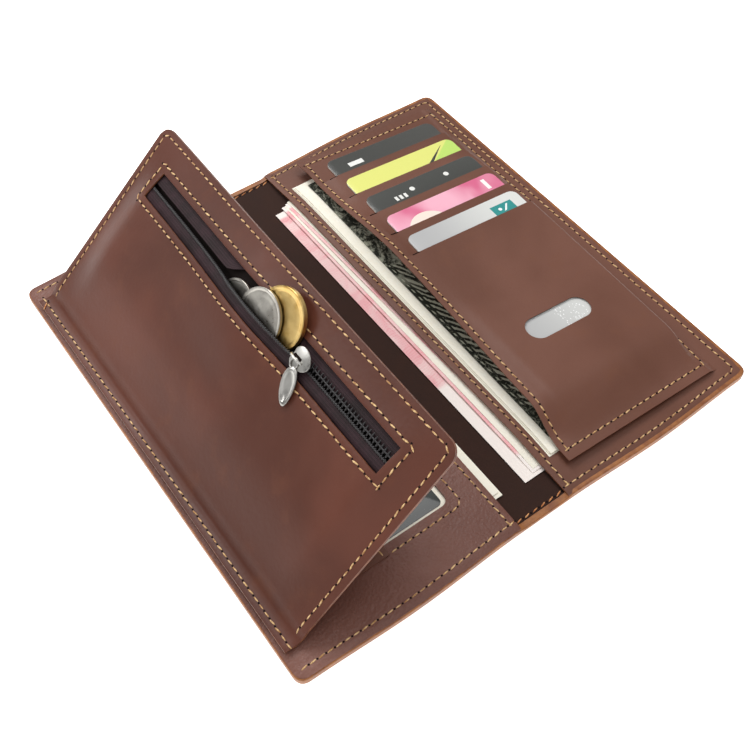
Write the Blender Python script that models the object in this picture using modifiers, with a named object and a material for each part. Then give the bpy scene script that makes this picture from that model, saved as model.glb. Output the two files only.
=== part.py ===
"""Long bifold wallet, lying open, with a zipped coin flap, card panel and removable contents.

Frame: X across the opened wallet, Y along its length, Z up, origin under its middle.
"""
import math

import bmesh
import bpy
from mathutils import Vector

for old in list(bpy.data.objects):
    bpy.data.objects.remove(old, do_unlink=True)

MM = 0.001

# Driving dimensions of the opened wallet
WIDTH = 196 * MM
LENGTH = 190 * MM
SPINE_W = 20 * MM
LEATHER = 1.4 * MM
LINING = 0.3 * MM
PANEL = 0.7 * MM
GAP = 0.1 * MM
FOLD_GAP = 0.15 * MM
CORNER_R = 5 * MM

# Levels of the flat layers
LINING_Z = LEATHER + GAP
FOLD_Z = LINING_Z + LINING + GAP
LEFT_NOTE_Z = 2.3 * MM
ID_SHEET_Z = 2.8 * MM
ID_PANEL_Z = 3.1 * MM
ID_POCKET_Z = 3.9 * MM

# Identity window on the left side, and the leather pocket over half of it
PANEL_INSET = 1.5 * MM
PANEL_EDGE = 10.5 * MM
WINDOW_X = (-77.5 * MM, -23.5 * MM)
WINDOW_Y = (-73 * MM, 13 * MM)
WINDOW_R = 3 * MM
POCKET_X = (-88 * MM, -51 * MM)
POCKET_Y = (-77 * MM, 17 * MM)

# Coin flap: its own frame has X out from the hinge, Z up from its back face
FLAP_PIVOT = (-92 * MM, 0, 4.6 * MM)
FLAP_ANGLE = math.radians(42.5)
FLAP_REACH = 81.6 * MM
FLAP_ROOT = 0.4 * MM
FLAP_HALF = 85 * MM
FLAP_BACK = 0.6 * MM
ZIP_WINDOW_X = (58.5 * MM, 69 * MM)
ZIP_WINDOW_HALF = 70.5 * MM
HINGE_STRIP_X = (-96.5 * MM, -94.1 * MM)
HINGE_STRIP_Z = (3.9 * MM, 4.4 * MM)
POCKET_LINING_R = (8 * MM, 73 * MM)
POCKET_LINING_HALF = 77 * MM
POCKET_LINING_T = 0.12 * MM

# Zip
ZIP_LINE = 63.6 * MM
TAPE_GAP = 1.4 * MM
TAPE_R = (52 * MM, 72 * MM)
TAPE = 0.24 * MM
TAPE_DROP = 0.62 * MM
COIL_W = 1.2 * MM
COIL_H = (0.9 * MM, 0.6 * MM)
COIL_LIFT = 0.3 * MM
ROW_GAP = 0.5 * MM
LOWER_PART = 2.7 * MM
UPPER_PART = 5 * MM
ZIP_HALF = 70.2 * MM

# Slider and its leaf pull, which hangs on a bridge by an eye
SLIDER_Y = -25.2 * MM
SLIDER_LEN = 8 * MM
SLIDER_W = 7 * MM
SLIDER_R = 1.8 * MM
SLIDER_TOP = (5.3 * MM, 5.9 * MM)
SLIDER_BASE = (1.1 * MM, 1.6 * MM)
BRIDGE_HALF = 2.2 * MM
BRIDGE_LEG = 0.5 * MM
BRIDGE_TOP = (6.7 * MM, 7.1 * MM)
BAR_HALF = 0.35 * MM
PULL_Y = 0.2 * MM
PULL_Z = 6.3 * MM
PULL_TURN = math.radians(205.8)
PULL_LEAF = (12.4 * MM, 5.6 * MM, 0.5 * MM)
PULL_LEAF_X = 9 * MM
PULL_EYE = (1.8 * MM, 0.4 * MM)
PULL_EYE_HOLE = 1.25 * MM
PULL_EYE_X = 1.55 * MM
PULL_NECK_X = (3 * MM, 5.2 * MM)

# Card panel: its frame has X across from the right seam and Z up from its back face
CARD_FRAME = (88 * MM, 0, 4.2 * MM)
CARD_TILT = math.radians(4.5)
CARD_YAW = math.radians(-1.5)
CARD_PANEL_X = (-68.5 * MM, 1 * MM)
CARD_PANEL_Y = (-86.5 * MM, 87.5 * MM)
CARD_PANEL_T = 0.5 * MM
POCKET_LEATHER = 0.6 * MM
POCKET_FABRIC = 0.25 * MM
CARD_L = 85.6 * MM
CARD_W = 54 * MM
CARD_T = 0.76 * MM
CARD_R = 3.2 * MM
CARD_X = -59 * MM
CARD_COUNT = 5
CARD_PITCH = 14.2 * MM
CARD_SHOWS = 9.5 * MM
LAST_MOUTH = 11.6 * MM
LAYER_PITCH = CARD_T + POCKET_FABRIC + 2 * GAP
THUMB_CENTRE = (-34.9 * MM, -41.9 * MM)
THUMB_SIZE = (29 * MM, 10 * MM)

# Divider and banknotes: each tilts up from its far edge; note sizes are across, along, thick
DIVIDER_SEAM = (96.5 * MM, 0, 2.1 * MM)
DIVIDER_TILT = math.radians(2.0)
PINK_SEAM = (73 * MM, 0, 2.12 * MM)
PINK_TILT = math.radians(1.5)
PINK_SIZE = (70 * MM, 155 * MM, 0.55 * MM)
PINK_Y = -2 * MM
GREEN_SEAM = (79 * MM, 0, 3.7 * MM)
GREEN_SIZE = (66 * MM, 156 * MM, 1.0 * MM)
LEFT_NOTE_X = (-73 * MM, -8 * MM)
LEFT_NOTE_Y = (-81 * MM, 75 * MM)
NOTE_T = 0.4 * MM

# Coins: (name, radius, thickness, distance from hinge, y, level above the lowest coin plane)
COIN_TILT = math.radians(10)
COIN_PLANE = (69.5 * MM, 3.6 * MM)
COINS = (
    ("gold_coin", 10.5 * MM, 1.8 * MM, 68 * MM, -10.5 * MM, 0),
    ("silver_coin_front", 10 * MM, 1.2 * MM, 62.6 * MM, -3.8 * MM, 2.0 * MM),
    ("silver_coin_back", 8.5 * MM, 1.2 * MM, 58.5 * MM, 9 * MM, 0.7 * MM),
)

PARTS = bpy.data.collections.new("long_wallet")
CUTTERS = bpy.data.collections.new("cutters")

COLOURS = {
    "leather": ((0.19, 0.085, 0.055, 1), 0.45, 0),
    "suede": ((0.035, 0.014, 0.009, 1), 0.95, 0),
    "fabric": ((0.03, 0.02, 0.022, 1), 0.85, 0),
    "clear_sheet": ((0.35, 0.37, 0.38, 1), 0.15, 0),
    "coil": ((0.012, 0.011, 0.012, 1), 0.4, 0),
    "nickel": ((0.55, 0.54, 0.52, 1), 0.3, 1),
    "gold": ((0.72, 0.55, 0.25, 1), 0.3, 1),
    "silver": ((0.6, 0.6, 0.57, 1), 0.3, 1),
    "card": ((0.5, 0.5, 0.5, 1), 0.35, 0),
    "pink_paper": ((0.8, 0.5, 0.5, 1), 0.8, 0),
    "green_paper": ((0.5, 0.52, 0.42, 1), 0.8, 0),
    "cream_paper": ((0.8, 0.76, 0.65, 1), 0.8, 0),
}


def make_material(name):
    colour, roughness, metallic = COLOURS[name]
    material = bpy.data.materials.new(name)
    material.use_nodes = True
    shader = material.node_tree.nodes["Principled BSDF"]
    shader.inputs["Base Color"].default_value = colour
    shader.inputs["Roughness"].default_value = roughness
    shader.inputs["Metallic"].default_value = metallic
    material.diffuse_color = colour
    return material


def add_object(name, bm, material=None, parent=None):
    """Turn a bmesh into a linked object; one without a material is a cutter."""
    mesh = bpy.data.meshes.new(name)
    bm.normal_update()
    bm.to_mesh(mesh)
    bm.free()
    obj = bpy.data.objects.new(name, mesh)
    if material:
        mesh.materials.append(MATERIALS[material])
        PARTS.objects.link(obj)
    else:
        obj.hide_render = True
        obj.display_type = "WIRE"
        CUTTERS.objects.link(obj)
    obj.parent = parent
    return obj


def frame_at(name, place, turn=(0, 0, 0), parent=None):
    """An empty that carries the pieces of one tilted or hinged stack."""
    empty = bpy.data.objects.new(name, None)
    empty.location = place
    empty.rotation_euler = turn
    empty.parent = parent
    PARTS.objects.link(empty)
    return empty


def box_mesh(x, y, z):
    bm = bmesh.new()
    bmesh.ops.create_cube(bm, size=1)
    for vert in bm.verts:
        vert.co.x = x[0] + (vert.co.x + 0.5) * (x[1] - x[0])
        vert.co.y = y[0] + (vert.co.y + 0.5) * (y[1] - y[0])
        vert.co.z = z[0] + (vert.co.z + 0.5) * (z[1] - z[0])
    return bm


def round_corners(bm, radius, keep=lambda x, y: True, segments=5):
    """Round the upright edges of a plate whose position passes keep(x, y)."""
    edges = []
    for edge in bm.edges:
        a, b = (vert.co for vert in edge.verts)
        if abs(a.x - b.x) + abs(a.y - b.y) < 1e-7 and keep(a.x, a.y):
            edges.append(edge)
    bmesh.ops.bevel(bm, geom=edges, offset=radius, segments=segments, profile=0.5, affect="EDGES")


def plate(name, x, y, z, material, parent=None, radius=0.0, keep=lambda px, py: True):
    bm = box_mesh(x, y, z)
    if radius:
        round_corners(bm, radius, keep)
    return add_object(name, bm, material, parent)


def disc(name, radius, thick, centre, material, parent, segments=24, edge=0.0):
    bm = bmesh.new()
    bmesh.ops.create_cone(bm, cap_ends=True, segments=segments, radius1=radius, radius2=radius,
                          depth=thick)
    if edge:
        rims = [line for line in bm.edges if abs(line.verts[0].co.z - line.verts[1].co.z) < 1e-7]
        bmesh.ops.bevel(bm, geom=rims, offset=edge, segments=1, affect="EDGES")
    bmesh.ops.translate(bm, verts=bm.verts, vec=centre)
    return add_object(name, bm, material, parent)


def cut(obj, cutter):
    modifier = obj.modifiers.new("cut", "BOOLEAN")
    modifier.operation = "DIFFERENCE"
    modifier.solver = "EXACT"
    modifier.object = cutter


def join(obj, other):
    modifier = obj.modifiers.new("join", "BOOLEAN")
    modifier.operation = "UNION"
    modifier.solver = "EXACT"
    modifier.object = other


def ease(low, high, value):
    t = min(max((value - low) / (high - low), 0), 1)
    return t * t * (3 - 2 * t)


def front_level(r, y):
    """Height of the inner face of the flap's front leather above the flap's back."""
    across = ease(0, 34 * MM, r) * (1 - ease(56 * MM, 80 * MM, r))
    along = 1 - ease(68 * MM, 83 * MM, abs(y))
    reach = 26 * MM if y > -MM else 18.5 * MM
    coins = math.exp(-(((y + MM) / reach) ** 2))
    coins *= ease(30 * MM, 56 * MM, r) * (1 - ease(62 * MM, 68 * MM, r))
    return 0.75 * MM + 3.45 * MM * across * along + 2.6 * MM * coins


def zip_parting(y):
    """1 where the coins hold the zip open, 0 where its rows run side by side."""
    return ease(-23 * MM, -18 * MM, y) * (1 - ease(12 * MM, 21 * MM, y))


def sheet_strip(name, inner, outer, level, half, thickness, material, parent, across=2, along=40):
    """A strip along Y between the lines inner(y) and outer(y), at height level(x, y)."""
    bm = bmesh.new()
    bmesh.ops.create_grid(bm, x_segments=across, y_segments=along, size=0.5)
    for vert in bm.verts:
        y = vert.co.y * 2 * half
        x = inner(y) + (vert.co.x + 0.5) * (outer(y) - inner(y))
        vert.co = Vector((x, y, level(x, y)))
    obj = add_object(name, bm, material, parent)
    solidify = obj.modifiers.new("thickness", "SOLIDIFY")
    solidify.thickness = thickness
    solidify.offset = 1
    return obj


def covers_and_linings():
    half_spine = SPINE_W / 2 - FOLD_GAP
    half_len = LENGTH / 2
    inset = half_len - PANEL_INSET
    shell = (0, LEATHER)
    lining = (LINING_Z, LINING_Z + LINING)
    plate("spine_cover", (-half_spine, half_spine), (-half_len, half_len), shell, "leather")
    plate("spine_lining", (-half_spine, half_spine), (-inset, inset), lining, "suede")
    inner = SPINE_W / 2 + FOLD_GAP
    outer = WIDTH / 2
    for side, name in ((-1, "left"), (1, "right")):
        fold = frame_at(name + "_fold_axis", (side * SPINE_W / 2, 0, FOLD_Z))
        start = inner - SPINE_W / 2
        end = outer - SPINE_W / 2
        x = sorted((side * start, side * end))
        lining_x = sorted((side * start, side * (end - PANEL_INSET)))
        down = tuple(level - FOLD_Z for level in shell)
        down_lining = tuple(level - FOLD_Z for level in lining)
        middle = (start + end) / 2
        plate(name + "_cover", x, (-half_len, half_len), down, "leather", fold, CORNER_R,
              lambda px, py: abs(px) > middle)
        plate(name + "_lining", lining_x, (-inset, inset), down_lining, "suede", fold)


def identity_side():
    """Left inner panel with its stitched window, clear sheet, pocket and the flap's seam strip."""
    outer = -(WIDTH / 2 - PANEL_INSET)
    half = LENGTH / 2 - PANEL_INSET
    panel = plate("id_panel", (outer, -PANEL_EDGE), (-half, half),
                  (ID_PANEL_Z, ID_PANEL_Z + PANEL), "leather", None, CORNER_R - PANEL_INSET,
                  lambda px, py: px < -PANEL_EDGE * 2)
    window = plate("id_window_cutter", WINDOW_X, WINDOW_Y, (0, 10 * MM), None, None, WINDOW_R)
    cut(panel, window)
    margin = 3 * MM
    plate("id_window_sheet", (WINDOW_X[0] - margin, WINDOW_X[1] + margin),
          (WINDOW_Y[0] - margin, WINDOW_Y[1] + margin),
          (ID_SHEET_Z, ID_SHEET_Z + 2 * GAP), "clear_sheet", None, WINDOW_R)
    plate("id_pocket", POCKET_X, POCKET_Y, (ID_POCKET_Z, ID_POCKET_Z + 0.5 * MM), "leather")
    plate("flap_seam_strip", HINGE_STRIP_X, (-FLAP_HALF, FLAP_HALF), HINGE_STRIP_Z, "leather")
    plate("left_note", LEFT_NOTE_X, LEFT_NOTE_Y, (LEFT_NOTE_Z, LEFT_NOTE_Z + NOTE_T), "cream_paper")


def coin_flap():
    flap = frame_at("flap_hinge", FLAP_PIVOT, (0, -FLAP_ANGLE, 0))
    reach = (FLAP_ROOT, FLAP_REACH)
    y = (-FLAP_HALF, FLAP_HALF)
    plate("flap_back", reach, y, (0, FLAP_BACK), "leather", flap, CORNER_R,
          lambda px, py: px > FLAP_REACH / 2)
    lining_h = FLAP_BACK + GAP
    plate("coin_pocket_lining", POCKET_LINING_R, (-POCKET_LINING_HALF, POCKET_LINING_HALF),
          (lining_h, lining_h + POCKET_LINING_T), "fabric", flap)

    bm = bmesh.new()
    bmesh.ops.create_grid(bm, x_segments=18, y_segments=22, size=0.5)
    for vert in bm.verts:
        x = FLAP_ROOT + (vert.co.x + 0.5) * (FLAP_REACH - FLAP_ROOT)
        yy = vert.co.y * 2 * FLAP_HALF
        vert.co = Vector((x, yy, front_level(x, yy)))
    front = add_object("flap_front", bm, "leather", flap)
    solidify = front.modifiers.new("thickness", "SOLIDIFY")
    solidify.thickness = PANEL
    solidify.offset = 1
    tall = (-5 * MM, 20 * MM)
    window = plate("zip_window_cutter", ZIP_WINDOW_X, (-ZIP_WINDOW_HALF, ZIP_WINDOW_HALF), tall,
                   None, flap)
    cut(front, window)
    zip_fastener(flap)
    coins(flap)


def zip_fastener(flap):
    def lower_edge(y):
        return ZIP_LINE - TAPE_GAP / 2 - LOWER_PART * zip_parting(y)

    def upper_edge(y):
        return ZIP_LINE + TAPE_GAP / 2 + UPPER_PART * zip_parting(y)

    def tape_level(x, y):
        return front_level(x, y) - TAPE_DROP

    def lower_coil_level(x, y):
        return tape_level(lower_edge(y) - COIL_W, y) + COIL_LIFT

    def upper_coil_level(x, y):
        return tape_level(upper_edge(y) + COIL_W, y) - COIL_LIFT * zip_parting(y)

    beside = COIL_W + ROW_GAP
    sheet_strip("zip_tape_lower", lambda y: TAPE_R[0], lambda y: lower_edge(y) - beside,
                tape_level, ZIP_HALF, TAPE, "fabric", flap)
    sheet_strip("zip_tape_upper", lambda y: upper_edge(y) + beside, lambda y: TAPE_R[1],
                tape_level, ZIP_HALF, TAPE, "fabric", flap)
    sheet_strip("zip_coil_lower", lambda y: lower_edge(y) - COIL_W, lower_edge, lower_coil_level,
                ZIP_HALF, COIL_H[0], "coil", flap, across=1)
    sheet_strip("zip_coil_upper", upper_edge, lambda y: upper_edge(y) + COIL_W,
                upper_coil_level, ZIP_HALF, COIL_H[1], "coil", flap, across=1)
    slider_and_pull(flap)


def slider_and_pull(flap):
    slide = frame_at("slider_frame", (ZIP_LINE, SLIDER_Y, 0), (0, 0, 0), flap)
    pull_frame = frame_at("pull_hinge", (0, PULL_Y, PULL_Z), (0, 0, PULL_TURN), slide)
    half_l = SLIDER_LEN / 2
    half_w = SLIDER_W / 2
    slider = plate("zip_slider", (-half_w, half_w), (-half_l, half_l), SLIDER_TOP,
                   "nickel", slide, SLIDER_R)
    base_w = half_w - 0.4 * MM
    base = plate("slider_base_cutter", (-base_w, base_w), (-half_l, half_l), SLIDER_BASE,
                 None, slide, SLIDER_R - 0.2 * MM)
    post = plate("slider_post_cutter", (-0.4 * MM, 0.4 * MM), (half_l - 2.2 * MM, half_l - 0.8 * MM),
                 (SLIDER_BASE[0] + 0.2 * MM, SLIDER_TOP[1] - 0.3 * MM), None, slide)
    sunk = SLIDER_TOP[1] - 0.1 * MM - PULL_Z
    bridge = plate("slider_bridge_cutter", (-BRIDGE_HALF, BRIDGE_HALF), (-BAR_HALF, BAR_HALF),
                   (sunk, BRIDGE_TOP[1] - PULL_Z), None, pull_frame)
    inside = BRIDGE_HALF - BRIDGE_LEG
    hole = plate("slider_bridge_hole_cutter", (-inside, inside), (-2 * BAR_HALF, 2 * BAR_HALF),
                 (sunk + 0.12 * MM, BRIDGE_TOP[0] - PULL_Z), None, pull_frame)
    join(slider, post)
    join(slider, base)
    join(slider, bridge)
    cut(slider, hole)

    length, width, thick = PULL_LEAF
    pull = disc("zip_pull", 1, thick, (0, 0, 0), "nickel", pull_frame, segments=28)
    for vert in pull.data.vertices:
        vert.co.x = vert.co.x * length / 2 + PULL_LEAF_X
        vert.co.y *= width / 2
    eye = disc("pull_eye_cutter", PULL_EYE[0], PULL_EYE[1], (PULL_EYE_X, 0, 0), None, pull_frame)
    neck = plate("pull_neck_cutter", PULL_NECK_X, (-0.9 * MM, 0.9 * MM),
                 (-0.17 * MM, 0.17 * MM), None, pull_frame)
    eye_hole = disc("pull_eye_hole_cutter", PULL_EYE_HOLE, 4 * MM, (PULL_EYE_X, 0, 0), None,
                    pull_frame)
    join(pull, neck)
    join(pull, eye)
    cut(pull, eye_hole)


def coins(flap):
    """Coins leaning out of the open part of the zip, all in parallel planes."""
    base_r, base_h = COIN_PLANE
    rise = math.tan(COIN_TILT)
    for name, radius, thick, r, y, lift in COINS:
        level = base_h + (r - base_r) * rise + (lift + thick / 2) / math.cos(COIN_TILT)
        place = frame_at(name + "_path", (r, y, level), (0, -COIN_TILT, 0), flap)
        material = "gold" if name.startswith("gold") else "silver"
        disc(name, radius, thick, (0, 0, 0), material, place, 40, 0.2 * MM)


def notes_and_divider():
    seam_y = LENGTH / 2 - PANEL_INSET
    divider = frame_at("divider_seam", DIVIDER_SEAM, (0, DIVIDER_TILT, 0))
    width = (WIDTH / 2 - PANEL_INSET - PANEL_EDGE) / math.cos(DIVIDER_TILT)
    plate("divider_panel", (-width, 0), (-seam_y, seam_y), (0, PANEL), "leather", divider,
          CORNER_R - PANEL_INSET, lambda px, py: px > -PANEL_EDGE)
    pink = frame_at("pink_notes_path", PINK_SEAM, (0, PINK_TILT, 0))
    plate("pink_notes", (-PINK_SIZE[0], 0), (PINK_Y - PINK_SIZE[1] / 2, PINK_Y + PINK_SIZE[1] / 2),
          (0, PINK_SIZE[2]), "pink_paper", pink)
    green = frame_at("green_notes_path", GREEN_SEAM, (0, DIVIDER_TILT, 0))
    plate("green_notes", (-GREEN_SIZE[0], 0), (-GREEN_SIZE[1] / 2, GREEN_SIZE[1] / 2),
          (0, GREEN_SIZE[2]), "green_paper", green)


def card_panel():
    panel = frame_at("card_panel_seam", CARD_FRAME, (0, CARD_TILT, CARD_YAW))
    plate("card_panel_back", CARD_PANEL_X, CARD_PANEL_Y, (0, CARD_PANEL_T), "leather", panel)
    first_level = CARD_PANEL_T + GAP
    slit_x = (CARD_X - 1 * MM, CARD_X + CARD_W + 1 * MM)
    pocket_y = CARD_PANEL_Y[0] + 3 * MM
    for index in range(CARD_COUNT):
        mouth = LAST_MOUTH + (CARD_COUNT - 1 - index) * CARD_PITCH
        level = first_level + index * LAYER_PITCH
        top = mouth + CARD_SHOWS
        card_frame = frame_at("card_%d_path" % (index + 1), (CARD_X + CARD_W / 2, top, level),
                              (0, 0, 0), panel)
        plate("card_%d" % (index + 1), (-CARD_W / 2, CARD_W / 2), (-CARD_L, 0), (0, CARD_T),
              "card", card_frame, CARD_R)
        above = level + CARD_T + GAP
        if index < CARD_COUNT - 1:
            plate("card_pocket_%d" % (index + 1), slit_x, (pocket_y, mouth),
                  (above, above + POCKET_FABRIC), "fabric", panel)
        else:
            front = plate("card_panel_front", slit_x, (pocket_y, mouth),
                          (above, above + POCKET_LEATHER), "leather", panel)
    half_l = THUMB_SIZE[0] / 2
    half_w = THUMB_SIZE[1] / 2
    hole = plate("thumb_hole_cutter",
                 (THUMB_CENTRE[0] - half_l, THUMB_CENTRE[0] + half_l),
                 (THUMB_CENTRE[1] - half_w, THUMB_CENTRE[1] + half_w),
                 (above - 0.05 * MM, above + 5 * MM), None, panel, half_w - 0.01 * MM)
    cut(front, hole)


MATERIALS = {name: make_material(name) for name in COLOURS}
for collection in (PARTS, CUTTERS):
    bpy.context.scene.collection.children.link(collection)
covers_and_linings()
identity_side()
coin_flap()
notes_and_divider()
card_panel()
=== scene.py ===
import math

import bmesh
import bpy
from mathutils import Matrix, Vector


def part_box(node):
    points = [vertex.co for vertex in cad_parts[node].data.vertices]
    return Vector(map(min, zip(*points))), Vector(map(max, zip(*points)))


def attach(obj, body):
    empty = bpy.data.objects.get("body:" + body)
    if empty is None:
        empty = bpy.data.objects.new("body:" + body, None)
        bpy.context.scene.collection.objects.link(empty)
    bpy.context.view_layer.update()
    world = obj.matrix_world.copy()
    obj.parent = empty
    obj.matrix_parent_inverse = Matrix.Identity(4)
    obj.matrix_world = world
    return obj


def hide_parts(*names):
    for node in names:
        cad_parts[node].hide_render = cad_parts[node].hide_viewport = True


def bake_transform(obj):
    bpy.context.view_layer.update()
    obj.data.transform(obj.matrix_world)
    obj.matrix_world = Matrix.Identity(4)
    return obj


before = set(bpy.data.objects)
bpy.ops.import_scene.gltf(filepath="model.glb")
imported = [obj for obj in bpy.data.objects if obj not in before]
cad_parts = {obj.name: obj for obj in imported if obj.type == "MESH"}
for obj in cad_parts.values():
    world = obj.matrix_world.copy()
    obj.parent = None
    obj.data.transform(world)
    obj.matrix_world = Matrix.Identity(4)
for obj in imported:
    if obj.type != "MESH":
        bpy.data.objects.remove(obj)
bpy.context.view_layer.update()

MM = 0.001

# The wallet's own sizes, read from the frame where it has them
LOW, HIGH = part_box("left_cover")
HALF_W = -LOW.x
HALF_L = HIGH.y
LEATHER = HIGH.z - LOW.z
SPINE_HALF = 10 * MM
CORNER_R = 4.2 * MM
PANEL_HALF_W = HALF_W - 0.4 * MM
PANEL_HALF_L = HALF_L - 0.4 * MM
EDGE_HEIGHT = 3.3 * MM
SPINE_EDGE_HEIGHT = 2.0 * MM
LINING_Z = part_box("spine_lining")[1].z
PANEL_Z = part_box("id_panel")[1].z
BORDER_Z = 3.5 * MM

# Coin flap, in its own coordinates: r out from the hinge, y along it, h off its back face
PIVOT = Vector((-92 * MM, 0, 4.6 * MM))
FLAP_ANGLE = math.radians(42.5)
FLAP_TWIST = math.radians(1.6)
FLAP_REACH = 81.6 * MM
FLAP_HALF = 85 * MM
FLAP_BACK = 0.6 * MM
FLAP_SKIN = 0.75 * MM
HINGE_EDGE = -4.4 * MM
ZIP_WINDOW = (58.5 * MM, 69 * MM)
ZIP_HALF = 70.5 * MM
ZIP_LINE = 63.6 * MM
SLIDER_Y = -25.2 * MM
SLIDER_TOP_AT = (ZIP_LINE + 0.7 * MM, SLIDER_Y - 1.4 * MM)
PULL_LEVEL = 6.2 * MM
PULL_TURN = math.radians(205.8)
COIN_TILT = math.radians(10)
COIN_PLANE = (69.5 * MM, 3.6 * MM)

# Card panel, in its own coordinates: u across from the right seam, v along, w off its back face
CARD_SEAM = Vector((88 * MM, 0, 4.2 * MM))
CARD_TILT = math.radians(4.5)
CARD_YAW = math.radians(-1.5)
CARD_W = 54 * MM
CARD_L = 85.6 * MM
CARD_T = 0.76 * MM
CARD_R = 3.2 * MM
CARD_U = -59 * MM
CARD_PITCH = 14.2 * MM
CARD_SHOWS = 9.5 * MM
LAST_MOUTH = 11.6 * MM
LAYER = 1.21 * MM
FIRST_CARD = 0.6 * MM
SLIT_U = (-60.2 * MM, -4.2 * MM)
PANEL_U = (-68 * MM, 3 * MM)
PANEL_V = (-87.6 * MM, 86.5 * MM)
SEAM_W = 0.95 * MM
EDGE_SEAM_X = 94.2 * MM
END_SEAM_Y = 91.4 * MM
THUMB = (-34.9 * MM, -41.9 * MM, 29 * MM, 10 * MM)

STITCH = 3.1 * MM
THREAD = 0.42 * MM


def ease(low, high, value):
    t = min(max((value - low) / (high - low), 0), 1)
    return t * t * (3 - 2 * t)


def hump(distance, width):
    return math.exp(-((distance / width) ** 2))


def hex_colour(code):
    """A colour written as a hex triple, as the linear values that a shader takes."""
    parts = [int(code[i:i + 2], 16) / 255 for i in (0, 2, 4)]
    return [c / 12.92 if c <= 0.04045 else ((c + 0.055) / 1.055) ** 2.4 for c in parts] + [1]


# ---------------------------------------------------------------- materials

class Field:
    """A value that varies over a surface, with arithmetic that adds Math nodes."""

    def __init__(self, paint, socket):
        self.paint = paint
        self.socket = socket

    def math(self, operation, a, b=0.0):
        return self.paint.node("ShaderNodeMath", {"operation": operation}, {0: a, 1: b})

    def __add__(self, other):
        return self.math("ADD", self, other)

    def __sub__(self, other):
        return self.math("SUBTRACT", self, other)

    def __rsub__(self, other):
        return self.math("SUBTRACT", other, self)

    def __mul__(self, other):
        return self.math("MULTIPLY", self, other)

    def __lt__(self, other):
        return self.math("LESS_THAN", self, other)

    def __gt__(self, other):
        return self.math("GREATER_THAN", self, other)

    def __abs__(self):
        return self.math("ABSOLUTE", self)

    __radd__ = __add__
    __rmul__ = __mul__


class Paint:
    """One material and the nodes that feed its Principled shader."""

    def __init__(self, name, **shader):
        self.material = bpy.data.materials.new(name)
        self.material.use_nodes = True
        self.tree = self.material.node_tree
        self.shader = self.tree.nodes["Principled BSDF"]
        for socket, value in shader.items():
            self.shader.inputs[socket.replace("_", " ")].default_value = value

    def node(self, kind, settings, inputs, out=0):
        made = self.tree.nodes.new(kind)
        for key, value in settings.items():
            setattr(made, key, value)
        for key, value in inputs.items():
            self.feed(made.inputs[key], value)
        return Field(self, made.outputs[out])

    def feed(self, socket, value):
        if isinstance(value, Field):
            self.tree.links.new(value.socket, socket)
        else:
            socket.default_value = value

    def place(self):
        return self.node("ShaderNodeTexCoord", {}, {}, "Object")

    def own_map(self):
        return self.node("ShaderNodeUVMap", {}, {})

    def split(self, vector):
        parts = [self.node("ShaderNodeSeparateXYZ", {}, {0: vector}, i) for i in range(3)]
        return parts[0], parts[1], parts[2]

    def noise(self, vector, scale, detail=2.0, roughness=0.5, distortion=0.0):
        return self.node("ShaderNodeTexNoise", {},
                         {"Vector": vector, "Scale": scale, "Detail": detail,
                          "Roughness": roughness, "Distortion": distortion})

    def cells(self, vector, scale, feature="F1", smooth=0.0):
        inputs = {"Vector": vector, "Scale": scale}
        if feature == "SMOOTH_F1":
            inputs["Smoothness"] = smooth
        return self.node("ShaderNodeTexVoronoi", {"feature": feature}, inputs)

    def mix(self, a, b, factor):
        return self.node("ShaderNodeMix", {"data_type": "RGBA"}, {0: factor, 6: a, 7: b}, 2)

    def level(self, value, low, high):
        """0 below low, 1 above high, smooth between."""
        return self.node("ShaderNodeMapRange", {"interpolation_type": "SMOOTHSTEP"},
                         {"Value": value, "From Min": low, "From Max": high})

    def bump(self, height, distance):
        normal = self.node("ShaderNodeBump", {}, {"Height": height, "Distance": distance})
        self.feed(self.shader.inputs["Normal"], normal)

    def colour(self, value):
        self.feed(self.shader.inputs["Base Color"], value)

    def rough(self, value):
        self.feed(self.shader.inputs["Roughness"], value)


def leather(name, dark, light, warm, grain, depth, rough=0.46):
    """Waxed leather: cloudy tone, fine pores, and a pebbled grain of the given size."""
    paint = Paint(name, Specular_IOR_Level=0.33)
    at = paint.place()
    clouds = paint.noise(at, 16, 3, 0.55, 0.4)
    smudges = paint.noise(at, 95, 4, 0.6)
    tone = paint.mix(hex_colour(dark), hex_colour(light), paint.level(clouds, 0.32, 0.68))
    tone = paint.mix(tone, hex_colour(warm), paint.level(smudges, 0.5, 0.8) * 0.4)
    pebbles = paint.cells(at, 1 / grain, "SMOOTH_F1", 0.5)
    creases = paint.noise(at, 0.55 / grain, 5, 0.65, 0.8)
    pores = paint.noise(at, 4200, 2, 0.6)
    tone = paint.mix(tone, hex_colour(dark), paint.level(pores, 0.56, 0.72) * 0.35)
    paint.colour(tone)
    paint.rough(rough + (smudges - 0.5) * 0.22 + (pores - 0.5) * 0.12)
    paint.bump(creases * 0.8 + pebbles * 0.9 + pores * 0.25, depth)
    return paint.material


def edge_paint(name, dark, light):
    """The burnished, painted cut edge of stacked leather."""
    paint = Paint(name, Specular_IOR_Level=0.5)
    at = paint.place()
    streaks = paint.noise(at, 260, 4, 0.6, 0.3)
    specks = paint.noise(at, 1900, 2, 0.6)
    tone = paint.mix(hex_colour(dark), hex_colour(light), paint.level(streaks, 0.3, 0.7))
    paint.colour(paint.mix(tone, hex_colour(dark), paint.level(specks, 0.6, 0.8) * 0.5))
    paint.rough(0.42 + (streaks - 0.5) * 0.3)
    paint.bump(streaks + specks * 0.4, 0.12 * MM)
    return paint.material


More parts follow.
